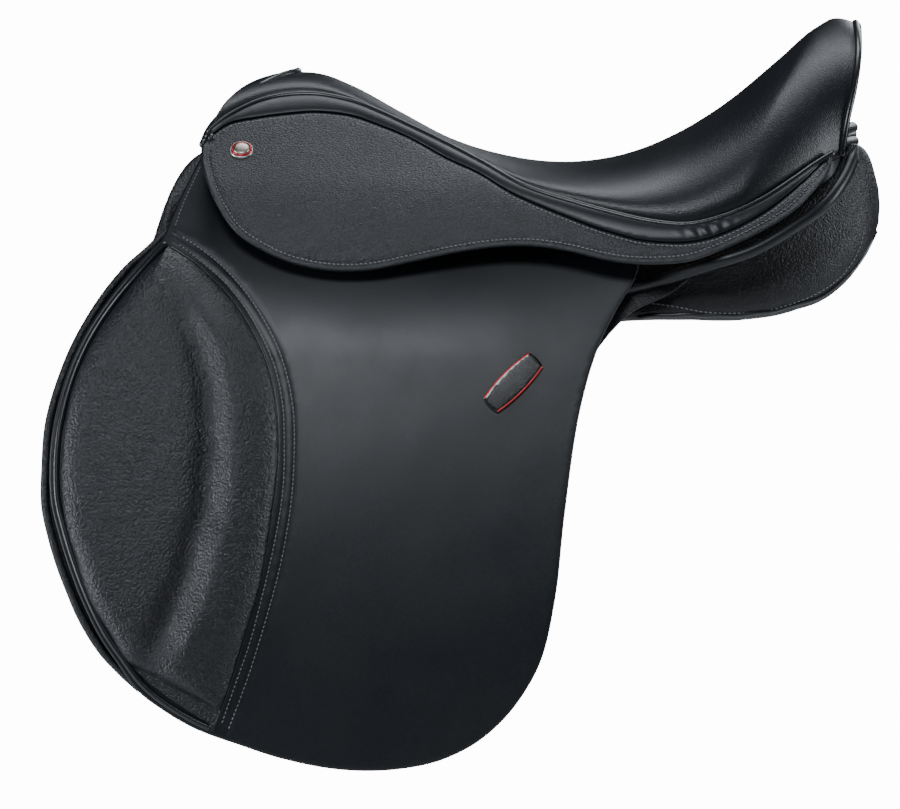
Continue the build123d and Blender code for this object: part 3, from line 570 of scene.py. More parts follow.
STITCH_IN = [(-281, 12.4), (-263.6, -1), (-247.6, -14.4), (-235.6, -27.8), (-224.8, -43.8),
             (-215.5, -61.3), (-210, -74.6),
             (-206.1, -89.4), (-203.4, -106.8), (-202.7, -125.5), (-202.7, -145.6), (-204, -165.7),
             (-207.4, -188.3),
             (-212, -211), (-217.4, -233.9), (-226.2, -267.3), (-236.9, -298.1), (-246.5, -326)]
STITCH_OUT = [(-279, 17.1), (-261, 5.7), (-246.3, -6.3), (-231.5, -22.4), (-219.5, -39.8),
              (-208.7, -59.9), (-202.7, -76),
              (-198.7, -92.1), (-196.3, -108.1), (-195.6, -125.5), (-196, -145.6), (-197.3, -165.7),
              (-200.1, -187),
              (-206.1, -217.8), (-215.5, -252.6), (-226.2, -287.4), (-234.9, -311.6), (-242, -330)]
SKIRT_HEM = [
    (-262.3, 78), (-262, 68), (-258, 53), (-249, 33.5), (-236.5, 16.5), (-216, 3.2), (-196, -5),
    (-169, -9.8), (-143, -9.2),
    (-115, -3.7), (-83, 3), (-54, 7), (-30, 7.4), (-8, 4.5), (17.5, -1.5), (31.5, -4), (55, -5.1), (80, -2.8),
    (104, 5.7), (128, 16.9), (152, 31.5), (164, 43), (176, 58), (180, 68), (179.2, 72.6)]
SEAM = [(-257, 85), (-243, 94.5), (-223, 98.8), (-196, 102.2), (-180, 103), (-156, 100), (-136, 93),
        (-116, 84.5),
        (-89, 69.6), (-66.5, 59), (-43, 44.7), (-3, 27.6), (24.5, 17.8), (51, 11.6), (84, 11.5),
        (110, 20), (135, 34),
        (160, 54), (179.2, 72.6)]
WELT = [(-257.5, 88.5), (-246, 98), (-236, 104), (-222, 110.3), (-207, 114), (-183, 115.2), (-156, 110),
        (-137, 102.5),
        (-116, 92.6), (-89, 79.3), (-66, 67), (-36, 50), (0, 38), (24, 31.3), (51, 25), (78, 22.6),
        (104, 28.5), (130, 40),
        (152, 54), (167, 64.5), (181, 73.2)]
HINGE = np.array([(-287, 19.1), (15.3, -64.3)])
SKIRT_HINGE = np.array([(-262, 69), (17.5, 14.5)])


def across(line, side, above, below):
    """Two points across a lifting line, above and below its middle, as (x, half width, z) points."""
    mid = line.mean(0)
    d = line[1] - line[0]
    n = np.array([d[1], -d[0]]) / np.linalg.norm(d)
    if n[1] > 0:
        n = -n
    a, b = mid - n * above, mid + n * below
    return ((a[0], float(side(a[0], a[1])), a[1]), (b[0], float(side(b[0], b[1])), b[1]))


# ---- flap ----
inner_row, outer_row = smooth(STITCH_IN, 1.6 * FINE), smooth(STITCH_OUT, 1.6 * FINE)
flap_outline = loop([FLAP_HEM, FLAP_TOP, FLAP_FRONT], 2.2 * FINE)


def flap_out(p, far):
    x, z = p[:, 0], p[:, 1]
    d = waves(x, z, 190, 0.45, 3) + waves(x, z, 60, 0.12, 5)
    d += groove(p, inner_row, 0.7, 1.1) + groove(p, outer_row, 0.7, 1.1)
    return d


def flap_in(p, far):
    return -3.3 + waves(p[:, 0], p[:, 1], 190, 0.3, 3)


flap_lines = rows_beside(inner_row, (0, -0.9, 0.9)) + rows_beside(outer_row, (0, -0.9, 0.9))
flap_mesh = sheet(flap_outline, flap_side, flap_out, flap_in, 3.4, 1.7, flap_lines)
fa, fb = across(HINGE, flap_side, 3, 26)
both("flap", flap_mesh, smooth_leather, None, None, ("flap", "flap_upper"), (fa, fb, "flap"))

# ---- knee pad, its roll and the welt round the front of the flap ----
pad_outline = loop([PAD_LEFT, PAD_HEM, PAD_SEAM[::-1]], 2.0 * FINE)
groove_line = smooth(PAD_GROOVE, 1.5)
seam_edge = smooth(PAD_SEAM, 2.0)
dome_outline = loop([
    PAD_LEFT[:-1] + [(-301.5, -285.5)],
    [(-301.5, -285.5), (-292, -290.5), (-276, -299.5), (-249, -313)],
    [(-249, -313)] + [p for p in PAD_SEAM[::-1] if p[1] > -303]], 2.0)


def dome(far, width, rise, power=2.0):
    t = np.clip(far / width, 0, 1)
    return rise * (1 - (1 - t) ** power) ** (1 / power)


def pad_height(p):
    x, z = p[:, 0], p[:, 1]
    inside_dome = inside(p, dome_outline)
    far = to_line(p, dome_outline, True) * inside_dome
    g = to_line(p, groove_line)
    right = np.interp(z, groove_line[::-1, 1], groove_line[::-1, 0]) < x
    along = ease((-6 - z) / 45) * ease((z + 296) / 40)
    seam = to_line(p, seam_edge)
    front = 9.8 - 4.9 * np.exp(-(g / 11.0) ** 2) * along
    swell = 9.8 - 4.9 * along + (5.4 + 4.6 * along) * ease(g / 21) * (0.25 + 0.75 * along)
    body = np.where(right, swell, front)
    edge = dome(far, 17, 1.0, 2.1)
    back = dome(seam, 46, 1.0, 1.9)
    h = body * np.minimum(edge, np.where(right, back, 1.0))
    crumple = waves(x, z, 22, 0.28, 17) * ease(far / 8) * ease((far - 2) / 8)
    return 0.75 + h + crumple


def pad_out(p, far):
    return np.maximum(pad_height(p), 0.5) * np.where(far < ON_RIM, 0.5, 1)


fine_rings = (0.15, 0.5, 1.1, 1.9, 3.0, 4.4, 6.2)


def pad_sheet(outline, out, spacing=2.2):
    lines = [groove_line[2:-2]] + [beside(groove_line, gap)[2:-2] for gap in (1.4, -1.4)]
    pts, faces, far = fill(outline, spacing * FINE, lines, fine_rings)
    d = out(pts, far)
    d[far < ON_RIM] = 0.3
    return two_sided(on(flap_side, pts, d), on(flap_side, pts, 0.1), faces, far < ON_RIM)


pads = both("knee_pad", pad_sheet(pad_outline, pad_out), grain_leather, "flap_near", "flap_off",
            ("knee_pad", "knee_roll"))
# the cut edge of the smooth leather that laps over the pad
lap = beside(smooth(PAD_SEAM, 1.8), 0.4)[1:-1]
both("flap_lap", tube(on(flap_side, lap, 0.35), 0.8, 10), edge_leather, "flap_near", "flap_off")
cord_line = smooth(FLAP_CORD, 2.0 * FINE)
both("flap_cord", tube(on(flap_side, cord_line, 0.4), 2.5, 18), edge_leather, "flap_near", "flap_off",
     ("flap_cord",))

# ---- skirt, with its rolled edge, and the smooth band above it ----
seam_line = smooth(SEAM, 1.6 * FINE)
hem_line = smooth(SKIRT_HEM, 2.0 * FINE)
skirt_outline = loop([SKIRT_HEM, SEAM[::-1], [(-257, 85), (-262.3, 78)]], 2.0 * FINE)
hem_row = beside(smooth(SKIRT_HEM, 1.6 * FINE), 5.2)[2:-8]
seam_row = beside(seam_line, -2.4)[1:-4]


def skirt_out(p, far):
    x, z = p[:, 0], p[:, 1]
    d = 3.4 + waves(x, z, 90, 0.35, 21)
    hem = to_line(p, hem_line)
    d = d + 1.2 * np.exp(-((hem - 1.7) / 1.6) ** 2) - 0.35 * np.exp(-((hem - 4.2) / 0.9) ** 2)
    d = d + groove(p, hem_row, 0.3, 0.8) + groove(p, seam_row, 0.4, 0.9)
    return d - 0.8 * np.exp(-(to_line(p, seam_line) / 1.2) ** 2)


skirt_mesh = sheet(skirt_outline, skirt_side, skirt_out, level(0.1), 2.8, 2.0,
                   rows_beside(hem_row, (0, -1, 1)) + rows_beside(seam_row, (0, -1)))
sa, sb = across(SKIRT_HINGE, skirt_side, 2, 22)
both("skirt", skirt_mesh, skirt_leather, None, None, ("skirt", "skirt_upper"), (sa, sb, "skirt"))
band_outline = loop([SEAM, [SEAM[-1], WELT[-1]], WELT[::-1], [WELT[0], SEAM[0]]], 2.0 * FINE)


def band_out(p, far):
    x, z = p[:, 0], p[:, 1]
    seam, welt = to_line(p, seam_line), to_line(p, smooth(WELT, 2))
    puff = 1.9 * np.sqrt(np.clip(1 - (1 - np.clip(seam / 9, 0, 1)) ** 2, 0, 1))
    crease = np.exp(-((x - 92) / 16) ** 2) * np.sin((x * 0.85 + z * 0.5) * 0.75) * 0.55
    return 3.0 + puff + crease * np.clip(far / 3, 0, 1) - 0.5 * np.exp(-(welt / 2) ** 2)


band_mesh = sheet(band_outline, skirt_side, band_out, level(0.3), 2.2, 1.2)


def mirrored(mesh):
    v, f = mesh
    return v * (1, -1, 1), [tuple(q)[::-1] for q in f]


def pair(name, mesh, mat, replaces=()):
    """One piece that is on both sides of the saddle."""
    v, f = join(mesh, mirrored(mesh))
    o = mesh_of(name, v, f, mat)
    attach(o, "saddle")
    if replaces:
        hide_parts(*replaces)
    return o


def single(name, mesh, mat, replaces=()):
    o = mesh_of(name, mesh[0], mesh[1], mat)
    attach(o, "saddle")
    if replaces:
        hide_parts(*replaces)
    return o


pair("skirt_bands", band_mesh, smooth_leather, ("skirt_bands",))

# ---- seat ----
CROWN = [(-262, 118), (-225, 129), (-196, 132.5), (-178, 131), (-157, 123), (-122, 104), (-88, 86),
         (-50, 74), (0, 69),
         (40, 75.5), (75, 90), (110, 112), (145, 141), (172, 164), (190, 171.5), (199, 167.5), (206, 158)]
HEAD = [(-258, 80), (-252.5, 94), (-243, 105.5), (-233, 114), (-221, 122.5), (-208, 128.9), (-196.5, 132.4)]


def rim_point(t):
    """A point of the cantle's rim for t from -1 (near) to 1 (off)."""
    t = np.asarray(t, float)
    y = 100 * np.sin(t * math.pi / 2)
    z = 72 + 95 * np.abs(np.cos(t * math.pi / 2)) ** 0.95
    return np.stack([rim_x(z), y, z], -1)


def rim_x(z):
    return height_on([(66, 185.5), (84, 188.3), (98, 190.8), (117, 195.3), (145, 199.6), (168, 199.6)], z)


def back_x(y, z):
    """The leather behind the cantle, fullest on the centre line."""
    turn = np.arccos(np.clip((np.clip(z, 72, 166.9) - 72) / 95, 0, 1) ** (1 / 0.95))
    share = np.clip(np.abs(y) / np.maximum(100 * np.sin(turn), 1), 0, 1)
    return rim_x(z) + 5.0 * (1 - share ** 2)


def seat_surface(cols, steps, sink=0.0):
    """Rows of points from the head to the rim, each row across the seat."""
    t = np.linspace(-1, 1, cols)
    t = np.sign(t) * np.abs(t) ** 0.92
    rows = []
    for s in np.linspace(0, 1, steps):
        rim = rim_point(t)
        head_x = np.interp(np.abs(t), [0, 0.35, 0.6, 0.8, 0.93, 1], [-201, -214, -228, -240, -249, -254.5])
        x = head_x + (rim[:, 0] - head_x) * s
        edge, crown = height_on(WELT, x), height_on(CROWN, x)
        wide = skirt_side(x, edge, 3.2) - 1.0
        y = wide * t
        u = np.abs(t)
        f = np.clip(1 - u ** 2.25, 0, 1) ** 0.56
        z = edge + 1.0 + (crown - edge - 1.0) * f
        first = 0.955 - 0.115 * u
        k = np.clip((s - first) / (1 - first), 0, 1)
        k = (k * k * (3 - 2 * k))[:, None]
        p = np.stack([x, y, z], 1) * (1 - k) + rim * k
        rows.append(p)
    rows = np.array(rows)
    rows[:, :, 2] -= sink
    return rows


cols, steps = ((101, 200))
seat_rows = seat_surface(cols, steps)
under_rows = seat_surface(cols, steps, 2.2)
under_rows[:, :, 1] *= 0.985
seat = single("seat_cover", shell(seat_rows, under_rows), seat_leather, ("seat_cover",))
TREE_TOP = [(-270, 102), (-205, 112), (-160, 98), (-110, 72), (-50, 42), (0, 30), (50, 33), (100, 54),
            (150, 92),
            (190, 134)]
foam_top = seat_surface(cols, steps, 6.0)
foam_top[:, :, 1] *= 0.95
foam_top[:, :, 0] = np.clip(foam_top[:, :, 0], -238, 174)
foam_low = foam_top.copy()
bed = np.maximum(height_on(TREE_TOP, foam_low[:, :, 0]) + 6, height_on(WELT, foam_low[:, :, 0]) + 1)
foam_low[:, :, 2] = np.minimum(foam_top[:, :, 2] - 1.0, bed)
foam = single("seat_foam", shell(foam_top, foam_low), foam_mat, ("seat_foam",))

welt_line = smooth(WELT, 1.8 * FINE)
pair("seat_welts", tube(on(skirt_side, welt_line, 2.6), 2.5), edge_leather, ("seat_welts",))

# cantle: welt over the rim, and the leather behind it
rim_t = np.linspace(-1, 1, 90)
rim = rim_point(rim_t)
single("cantle_welt", tube(rim + (0.4, 0, 0), 2.6), edge_leather, ("cantle_welt",))
back_rows = []
for v in np.linspace(0, 1, 26):
    row = rim_point(rim_t)
    z = row[:, 2] + (73 - row[:, 2]) * v
    y = row[:, 1]
    back_rows.append(np.stack([back_x(y, z), y, z], 1))
back_rows = np.array(back_rows)
single("cantle_back", shell(back_rows, back_rows - (3.0, 0, 0)), smooth_leather, ("cantle_back",))
# the back below the cantle: a leather wall that runs round to the sides, with two padded rolls on it
HALF_PLAN = [(146, 107), (160, 104.5), (172, 101), (181, 95.5), (187, 86), (193, 66), (198, 36), (200.5, 0)]
rear_plan = smooth(HALF_PLAN + [(x, -y) for x, y in HALF_PLAN[-2::-1]], 3.0)


def rear_run(height, lift, push):
    x, y = rear_plan[:, 0], rear_plan[:, 1]
    fall = 0.62 * np.clip(181 - x, 0, None)
    back = x + push * np.clip(1 - (y / 100) ** 2, 0.15, 1)
    return np.stack([back, y, height + lift * (1 - (y / 107) ** 2) - fall], 1)


wall_rows = np.array([rear_run(h, 4, 0.5) for h in np.linspace(86, 44, 15)])
single("cantle_wall", shell(wall_rows, wall_rows * (1, 0.965, 1) - (3, 0, 0)), smooth_leather)
single("cantle_rolls", join(tube(rear_run(88, 5, -2.6), 4.0, 16), tube(rear_run(79, 4, -2.2), 4.4, 16)),
       smooth_leather)

# facing of the head: a double welt round the arch
head = smooth(HEAD, 2.0)
arch_pts = []
for k in np.linspace(-1, 1, 91):
    a = abs(k)
    z = 133.0 - (133.0 - 84.0) * a ** 2.0
    x = float(np.interp(z, head[:, 1], head[:, 0]))
    w = float(skirt_side(-256, z, 3.6)) if a > 0.98 else 57.5 * np.sin(a * math.pi / 2) ** 0.8 + 18 * a ** 4
    arch_pts.append((x, math.copysign(w, k), z))
arch = np.array(arch_pts)
outer_welt = tube(arch + (1.2, 0, 0), 2.7)
inner_arch = arch * (1, 0.93, 1) + (-4.6, 0, -4.2)
inner_welt = tube(inner_arch, 2.9)
deep_arch = arch * (1, 0.86, 1) + (-3.0, 0, -9.5)
face_rows = np.array([inner_arch + (1, 0, 0), (inner_arch + deep_arch) / 2 + (2.0, 0, 0), deep_arch + (3, 0, 0),
                      arch * (1, 0.72, 1) + (6, 0, -20)])
fv, ff = grid_mesh(face_rows)
single("pommel_facing", join(outer_welt, inner_welt, (fv, ff), (fv + (2.5, 0, 0), [f[::-1] for f in ff])),
       edge_leather, ("pommel_facing",))


# ---- studs ----
def lathe(profile, centre, normal, sides=40):
    """Turned shape: (radius, height) points about a normal at a centre."""
    n = np.array(normal, float) / np.linalg.norm(normal)
    a = np.cross(n, (0, 0, 1.0))
    a /= np.linalg.norm(a)
    b = np.cross(n, a)
    verts, faces = [], []
    for r, h in profile:
        for k in range(sides):
            w = 2 * math.pi * k / sides
            verts.append(np.array(centre) + n * h + (a * math.cos(w) + b * math.sin(w)) * max(r, 1e-3))
    for i in range(len(profile) - 1):
        for k in range(sides):
            p, q = i * sides + k, i * sides + (k + 1) % sides
            faces.append((p, q, q + sides, p + sides))
    return np.array(verts), faces


def surface_frame(side, x, z, depth):
    p = np.array([x, -float(side(x, z, depth)), z])
    up = np.array([0.0, float(side(x, z - 1, depth)) - float(side(x, z + 1, depth)), 2.0])
    ahead = np.array([2.0, -float(side(x + 1, z, depth)) + float(side(x - 1, z, depth)), 0])
    nrm = np.cross(ahead, up)
    nrm /= np.linalg.norm(nrm)
    return p, (nrm if nrm[1] < 0 else -nrm)


sc, sn = surface_frame(skirt_side, -233.8, 75.4, 3.3)
ring_shape = [(5.9, 0), (5.9, 1.5), (6.2, 1.95), (6.75, 2.05), (7.2, 1.7), (7.4, 0.9), (7.4, 0)]
rim_shape = [(7.35, 0), (7.35, 1.2), (7.7, 1.35), (8.1, 1.0), (8.3, 0.0)]
cap_shape = [(5.95, 0), (5.9, 1.7), (5.6, 2.3), (5.1, 2.65), (4.2, 2.9), (2.8, 3.1), (1.3, 3.2), (0.0, 3.22)]
pair("stud_rings", lathe(ring_shape, sc, sn), ring_red, ("stud_rings",))
pair("stud_rims", lathe(rim_shape, sc, sn), steel)
pair("stud_caps", lathe(cap_shape, sc, sn), cap_metal, ("stud_caps",))

# ---- badge ----
BADGE_AT = np.array([-43.7, -87.0])
ALONG = np.array([math.cos(math.pi / 4), math.sin(math.pi / 4)])
ACROSS = np.array([-ALONG[1], ALONG[0]])
BADGE_HALF, BADGE_WAIST, BADGE_BOW, BADGE_POINT = 22.5, 7.4, 2.1, 1.2


def badge_side(shares, half, waist, sign):
    """One long bowed side of the badge."""
    return [BADGE_AT + ALONG * s * half + sign * ACROSS * (waist + BADGE_BOW * (1 - s * s)) for s in shares]


def badge_sheet(low, top, round_edge):
    long_a = badge_side(np.linspace(1, -1, 9), BADGE_HALF, BADGE_WAIST, 1)
    long_b = badge_side(np.linspace(-1, 1, 9), BADGE_HALF, BADGE_WAIST, -1)
    point = ALONG * (BADGE_HALF + BADGE_POINT)
    outline = loop([long_a, [long_a[-1], BADGE_AT - point, long_b[0]],
                    long_b, [long_b[-1], BADGE_AT + point, long_a[0]]], 0.8)
    return sheet(outline, flap_side, level(top), level(low), 2.0, round_edge)


def badge_line(sign):
    return on(flap_side, np.array(badge_side(np.linspace(-1, 1, 25), 21.8, 6.6, sign)), 1.75)


both("badge", badge_sheet(0.1, 1.75, 0.8), gloss_black, "flap_near", "flap_off", ("badge",))
both("badge_lines", join(tube(badge_line(1), 0.55, 10), tube(badge_line(-1), 0.55, 10)), line_red,
     "flap_near", "flap_off")

# ---- sweat flap with its roll ----
SWEAT_EDGE = [(-287.5, 20.5), (-301.1, 7.1), (-314.5, -5), (-328, -21.1), (-341.3, -41.2), (-352, -61.3),
              (-360.1, -81.3),
              (-366.1, -100.1), (-370.1, -118.9), (-371.8, -145.6), (-371.8, -172.4), (-367.4, -193.7),
              (-361.4, -213.7),
              (-354.7, -231.2), (-345.3, -252.6), (-331.9, -274.1), (-317.2, -290), (-304.5, -301.5)]
SWEAT_FRONT = beside(np.array(SWEAT_EDGE, float), 3.1).tolist()
SWEAT_REST = [tuple(SWEAT_FRONT[-1]), (-240, -325), (-185, -336), (-130, -334), (-80, -316), (-50, -280)]
SWEAT_BACK = [(-50, -280), (-38, -200), (-6, -100), (35, -42), (68, -24.5), (92, -5)]
SWEAT_TOP = [(92, -5), (60, 8), (0, 19), (-60, 29), (-130, 40), (-200, 44), (-262, 42), tuple(SWEAT_FRONT[0])]
sweat_outline = loop([SWEAT_FRONT, SWEAT_REST, SWEAT_BACK, SWEAT_TOP], 2.6 * FINE)
sweat_mesh = sheet(sweat_outline, under_side,
                   lambda p, f: -13.9 + waves(p[:, 0], p[:, 1], 150, 0.5, 31),
                   lambda p, f: -16.5 + waves(p[:, 0], p[:, 1], 150, 0.5, 31), 5.0, 1.3)
both("sweat_flap", sweat_mesh, under_leather, "saddle", "saddle", ("sweat_flap",))
sweat_line = smooth(SWEAT_FRONT, 2.2 * FINE)
both("sweat_roll", tube(on(under_side, sweat_line, -13.6), 3.1), under_leather, "saddle",
     "saddle", ("sweat_roll",))

# ---- panel ----
# per station along X: outer top, outer bottom, inner bottom, inner top as (half width, height)
PANEL = [
    (-296, (96, 14), (100, 2), (88, -8), (78, 4)),
    (-288, (86, 40), (112, -28), (84, -34), (58, 20)),
    (-278, (66, 62), (122, -60), (88, -66), (34, 42)),
    (-262, (52, 78), (126, -76), (88, -80), (24, 56)),
    (-225, (56, 70), (128, -82), (86, -84), (22, 46)),
    (-180, (64, 58), (127, -78), (80, -76), (22, 30)),
    (-120, (78, 40), (124, -68), (60, -52), (25, 8)),
    (-60, (92, 20), (122, -58), (50, -36), (28, -2)),
    (0, (101, 2), (122, -50), (46, -26), (30, 2)),
    (42, (116, -14), (124, -46), (46, -22), (32, 6)),
    (80, (123, 4), (128, -46), (48, -18), (33, 12)),
    (116, (119, 21), (126, -47), (50, -14), (34, 24)),
    (154, (109, 45), (118, -40), (52, -10), (36, 44)),
    (182, (93, 70), (105, -27), (50, -2), (38, 62)),
    (199, (80, 80), (92, -9), (48, 12), (40, 72)),
    (210, (70, 66), (78, 10), (52, 24), (46, 62)),
    (214.5, (62, 50), (66, 24), (58, 30), (54, 46)),
]


def rounded(quad, puff, count=56):
    """A plump closed section through four corners."""
    q = np.array(quad, float)
    c = q.mean(0)
    pts = []
    for i in range(4):
        a, b = q[i], q[(i + 1) % 4]
        m = (a + b) / 2
        out = m - c
        out /= max(np.linalg.norm(out), 1e-6)
        length = np.linalg.norm(b - a)
        for s in (0.16, 0.5, 0.84):
            bow = puff * length * (0.045 if s == 0.5 else 0.028)
            pts.append(a + (b - a) * s + out * bow)
    pts = np.array(pts)
    closed = np.vstack([pts, pts[:3]])
    line = smooth(closed, 1.0)
    k0 = np.argmin(np.linalg.norm(line - pts[1], axis=1)[: len(line) // 3])
    d = np.linalg.norm(line - line[k0], axis=1)
    d[: k0 + 20] = 1e9
    k1 = int(np.argmin(d))
    ring = even(line[k0:k1 + 1], np.linalg.norm(np.diff(line[k0:k1 + 1], axis=0), axis=1).sum() / count)
    return ring[:count]


xs = np.array([p[0] for p in PANEL], float)
corners = np.array([p[1:] for p in PANEL], float)
stations = np.concatenate([np.linspace(-296, -262, 14), np.linspace(-259, 199, 96),
                           np.linspace(201, 214.5, 10)])


def corner_at(x):
    out = np.zeros((4, 2))
    for i in range(4):
        for k in range(2):
            out[i, k] = height_on(list(zip(xs, corners[:, i, k])), x)
    return out


panel_rows = []
for x in stations:
    ring = rounded(corner_at(x), 1.0)
    panel_rows.append(np.stack([np.full(len(ring), x), -ring[:, 0], ring[:, 1]], 1))
m = len(panel_rows[0])
pv = np.vstack(panel_rows)
pf = [(i * m + j, i * m + (j + 1) % m, (i + 1) * m + (j + 1) % m, (i + 1) * m + j)
      for i in range(len(panel_rows) - 1) for j in range(m)]
caps = []
for i in (0, len(panel_rows) - 1):
    pv = np.vstack([pv, panel_rows[i].mean(0)[None] + ((-1.5 if i == 0 else 1.0), 0, 0)])
    caps += [(i * m + j, i * m + (j + 1) % m, len(pv) - 1) for j in range(m)]
panels = both("panel", (pv, pf + caps), under_leather, "saddle", "saddle", ("panel",))


def panel_side(x, z, o=0.0):
    """Half width of the panel's outer face at points of the side view."""
    x, z = np.atleast_1d(np.asarray(x, float)), np.atleast_1d(np.asarray(z, float))
    out = np.zeros(len(x))
    for k in range(len(x)):
        ring = rounded(corner_at(x[k]), 1.0)
        a, b = ring, np.roll(ring, -1, 0)
        cross = (a[:, 1] > z[k]) != (b[:, 1] > z[k])
        if cross.any():
            t = (z[k] - a[cross, 1]) / (b[cross, 1] - a[cross, 1])
            out[k] = (a[cross, 0] + t * (b[cross, 0] - a[cross, 0])).max()
        else:
            out[k] = ring[np.argmin(np.abs(ring[:, 1] - z[k])), 0]
    return out + o


GUSSET = [(50, -31.5), (70.7, -34.4), (90.3, -38.0), (108.5, -39.0), (131.6, -37.8), (148.4, -33.4),
          (169.4, -25.3), (186, -14), (198, 2), (204, 20)]
gusset_line = smooth(GUSSET, 2.4)
pair("panel_stitches", stitches(panel_side, gusset_line, 0.2, 3.4), thread)
edge_points = []
for x in np.arange(44, 213.6, 2.4):
    ring = rounded(corner_at(x), 1.0)
    low = corner_at(x)[1] + (14, -10)
    x_, z_ = ring[np.argmin(np.linalg.norm(ring - low, axis=1))]
    edge_points.append((x, -x_, z_))
edge_points = np.array(edge_points)
for _ in range(12):
    edge_points[1:-1] = (edge_points[:-2] + 2 * edge_points[1:-1] + edge_points[2:]) / 4
pair("panel_piping", tube(edge_points[::2], 1.7, 12), edge_leather)
# the smooth roll along the top of the panel, under the tail of the skirt
ROLL_LINE = [(198, 78), (189, 56.5), (175.7, 38.3), (154, 22.5), (123.9, 5.1), (93.1, -5), (63, -14.5),
             (40, -20.5), (24, -24)]
roll_line = smooth(ROLL_LINE, 2.4)
from_end = np.minimum(np.arange(len(roll_line)), np.arange(len(roll_line))[::-1])
roll_size = 4.6 * np.sqrt(np.clip(from_end / 4, 0.15, 1))
roll_share = ease((roll_line[:, 0] - 50) / 60)
roll_y = half_width(roll_line[:, 1], -10.5) * (1 - roll_share)
roll_y = roll_y + skirt_side(roll_line[:, 0], roll_line[:, 1], -5.6) * roll_share
roll_path = np.stack([roll_line[:, 0], -roll_y, roll_line[:, 1]], 1)
pair("panel_roll", tube(roll_path, roll_size, 16), smooth_leather)

# ---- girth straps, guards, pockets and webs ----
def strap_mesh(x):
    """A strap with a pointed end, punched holes and worn round edges."""
    top, end, half = 30.5, -265, 12.5
    arc = [(x + half * math.cos(a), top - half + half * math.sin(a)) for a in np.linspace(math.pi, 0, 13)]
    tip = [(x + half, end + 14), (x + 1.5, end + 0.6), (x - 1.5, end + 0.6), (x - half, end + 14)]
    outline = even(np.array(arc + tip + [arc[0]]), 2.4)[:-1]
    hole, pitch, turn = 2.3, 25, np.linspace(0, 2 * math.pi, 14, endpoint=False)
    holes = [np.array([(x + hole * math.cos(a), -240 + pitch * i + hole * math.sin(a)) for a in turn])
             for i in range(7)]
    grid = np.array([(px, pz) for px in np.arange(x - 11, x + 11.1, 2.75)
                     for pz in np.arange(end + 3, top - 1, 4.5)])
    rings = [beside(np.vstack([outline, outline[:2]]), g)[:-2] for g in (-0.5, -1.3)]
    around = [np.array([h.mean(0) + (q - h.mean(0)) * k for q in h]) for h in holes for k in (1.2, 1.5)]
    edges = [outline] + holes
    extra = np.vstack(rings + around + [grid])
    far = np.min([to_line(extra, e, True) for e in edges], axis=0)
    keep = inside(extra, outline) & (far > 0.3)
    for h in holes:
        keep &= ~inside(extra, h)
    on_grid = np.arange(len(extra)) >= len(extra) - len(grid)
    keep &= ~(on_grid & (far < 1.9))
    pts = np.vstack(edges + [extra[keep]])
    links, base = [], 0
    for e in edges:
        links += [(base + i, base + (i + 1) % len(e)) for i in range(len(e))]
        base += len(e)
    verts, _, faces, _, _, _ = delaunay_2d_cdt([Vector(p) for p in pts], links, [], 1, 1e-4)
    flat = np.array([tuple(v) for v in verts], float)
    far = np.min([to_line(flat, e, True) for e in edges], axis=0)
    mids = np.array([flat[list(f)].mean(0) for f in faces])
    good = inside(mids, outline)
    for h in holes:
        good &= ~inside(mids, h)
    faces = [tuple(f) for f, g in zip(faces, good) if g]
    share = np.sqrt(np.clip(1 - (1 - np.clip(far / 1.3, 0, 1)) ** 2, 0, 1))
    px, pz = flat[:, 0], flat[:, 1]
    bend = waves(px * 0 + x, pz, 120, 0.12, int(x) % 7 + 3)
    upper = on(under_side, flat, -7.8 + 1.9 * share + bend)
    lower = on(under_side, flat, -7.8 - 1.9 * share + bend)
    mesh = two_sided(upper, lower, faces, far < ON_RIM)
    rows = [stitches(under_side, smooth([(x + gap, 8), (x + gap, end + 20)], 4.0), -5.95, 3.6)
            for gap in (-9.6, 9.6)]
    return mesh, join(*rows)


for number, x in enumerate((-150, -112, -74), 1):
    body, rows = strap_mesh(x)
    for side in ("near", "off"):
        node_name = f"girth_strap_{number}_{side}"
        o = mesh_of(f"strap_{number}_{side}", body[0], body[1], strap_leather, flip=side == "off")
        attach(o, node_name)
        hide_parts(node_name)
        o = mesh_of(f"strap_{number}_stitches_{side}", rows[0], rows[1], thread, flip=side == "off")
        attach(o, node_name)

guard_outline = rounded_box(-176, -50, -75, 10, 12, 1.8)
guard = sheet(guard_outline, under_side, level(-3.9), level(-4.7), 4.0, 0.4)
both("buckle_guard", guard, smooth_leather, "saddle", "saddle", ("buckle_guard",))
guard_row = even(rounded_box(-172, -54, -71, 6, 9, 1.8), 1.8)
both("guard_stitches", stitches(under_side, guard_row, -3.95, 3.4), thread, "saddle", "saddle")
pocket = sheet(rounded_box(-250, -165, -32, 20, 14, 1.8), under_side, level(-17.1), level(-19.1), 4.0, 0.9)
pair("point_pockets", pocket, under_leather, ("point_pockets",))
pocket_row = even(rounded_box(-246, -169, -28, 12, 11, 1.8), 1.8)
pair("pocket_stitches", stitches(under_side, pocket_row, -17.1, 3.4), thread)


def web_rows(start, end, inner, above):
    """Rows of points of a web that crosses the tree and runs down inside the straps on both sides."""
    rows = []
    for x in np.linspace(start + 0.2, end - 0.2, 19):
        peak = float(height_on(TREE_TOP, x)) + above
        leg_z = np.linspace(5.3, peak, 24)
        leg = np.stack([np.full(24, x), -half_width(leg_z, inner), leg_z], 1)
        across_y = np.linspace(leg[-1, 1], -leg[-1, 1], 30)[1:-1]
        top = np.stack([np.full(28, x), across_y, np.full(28, peak)], 1)
        rows.append(np.vstack([leg, top, (leg * (1, -1, 1))[::-1]]))
    return np.array(rows)


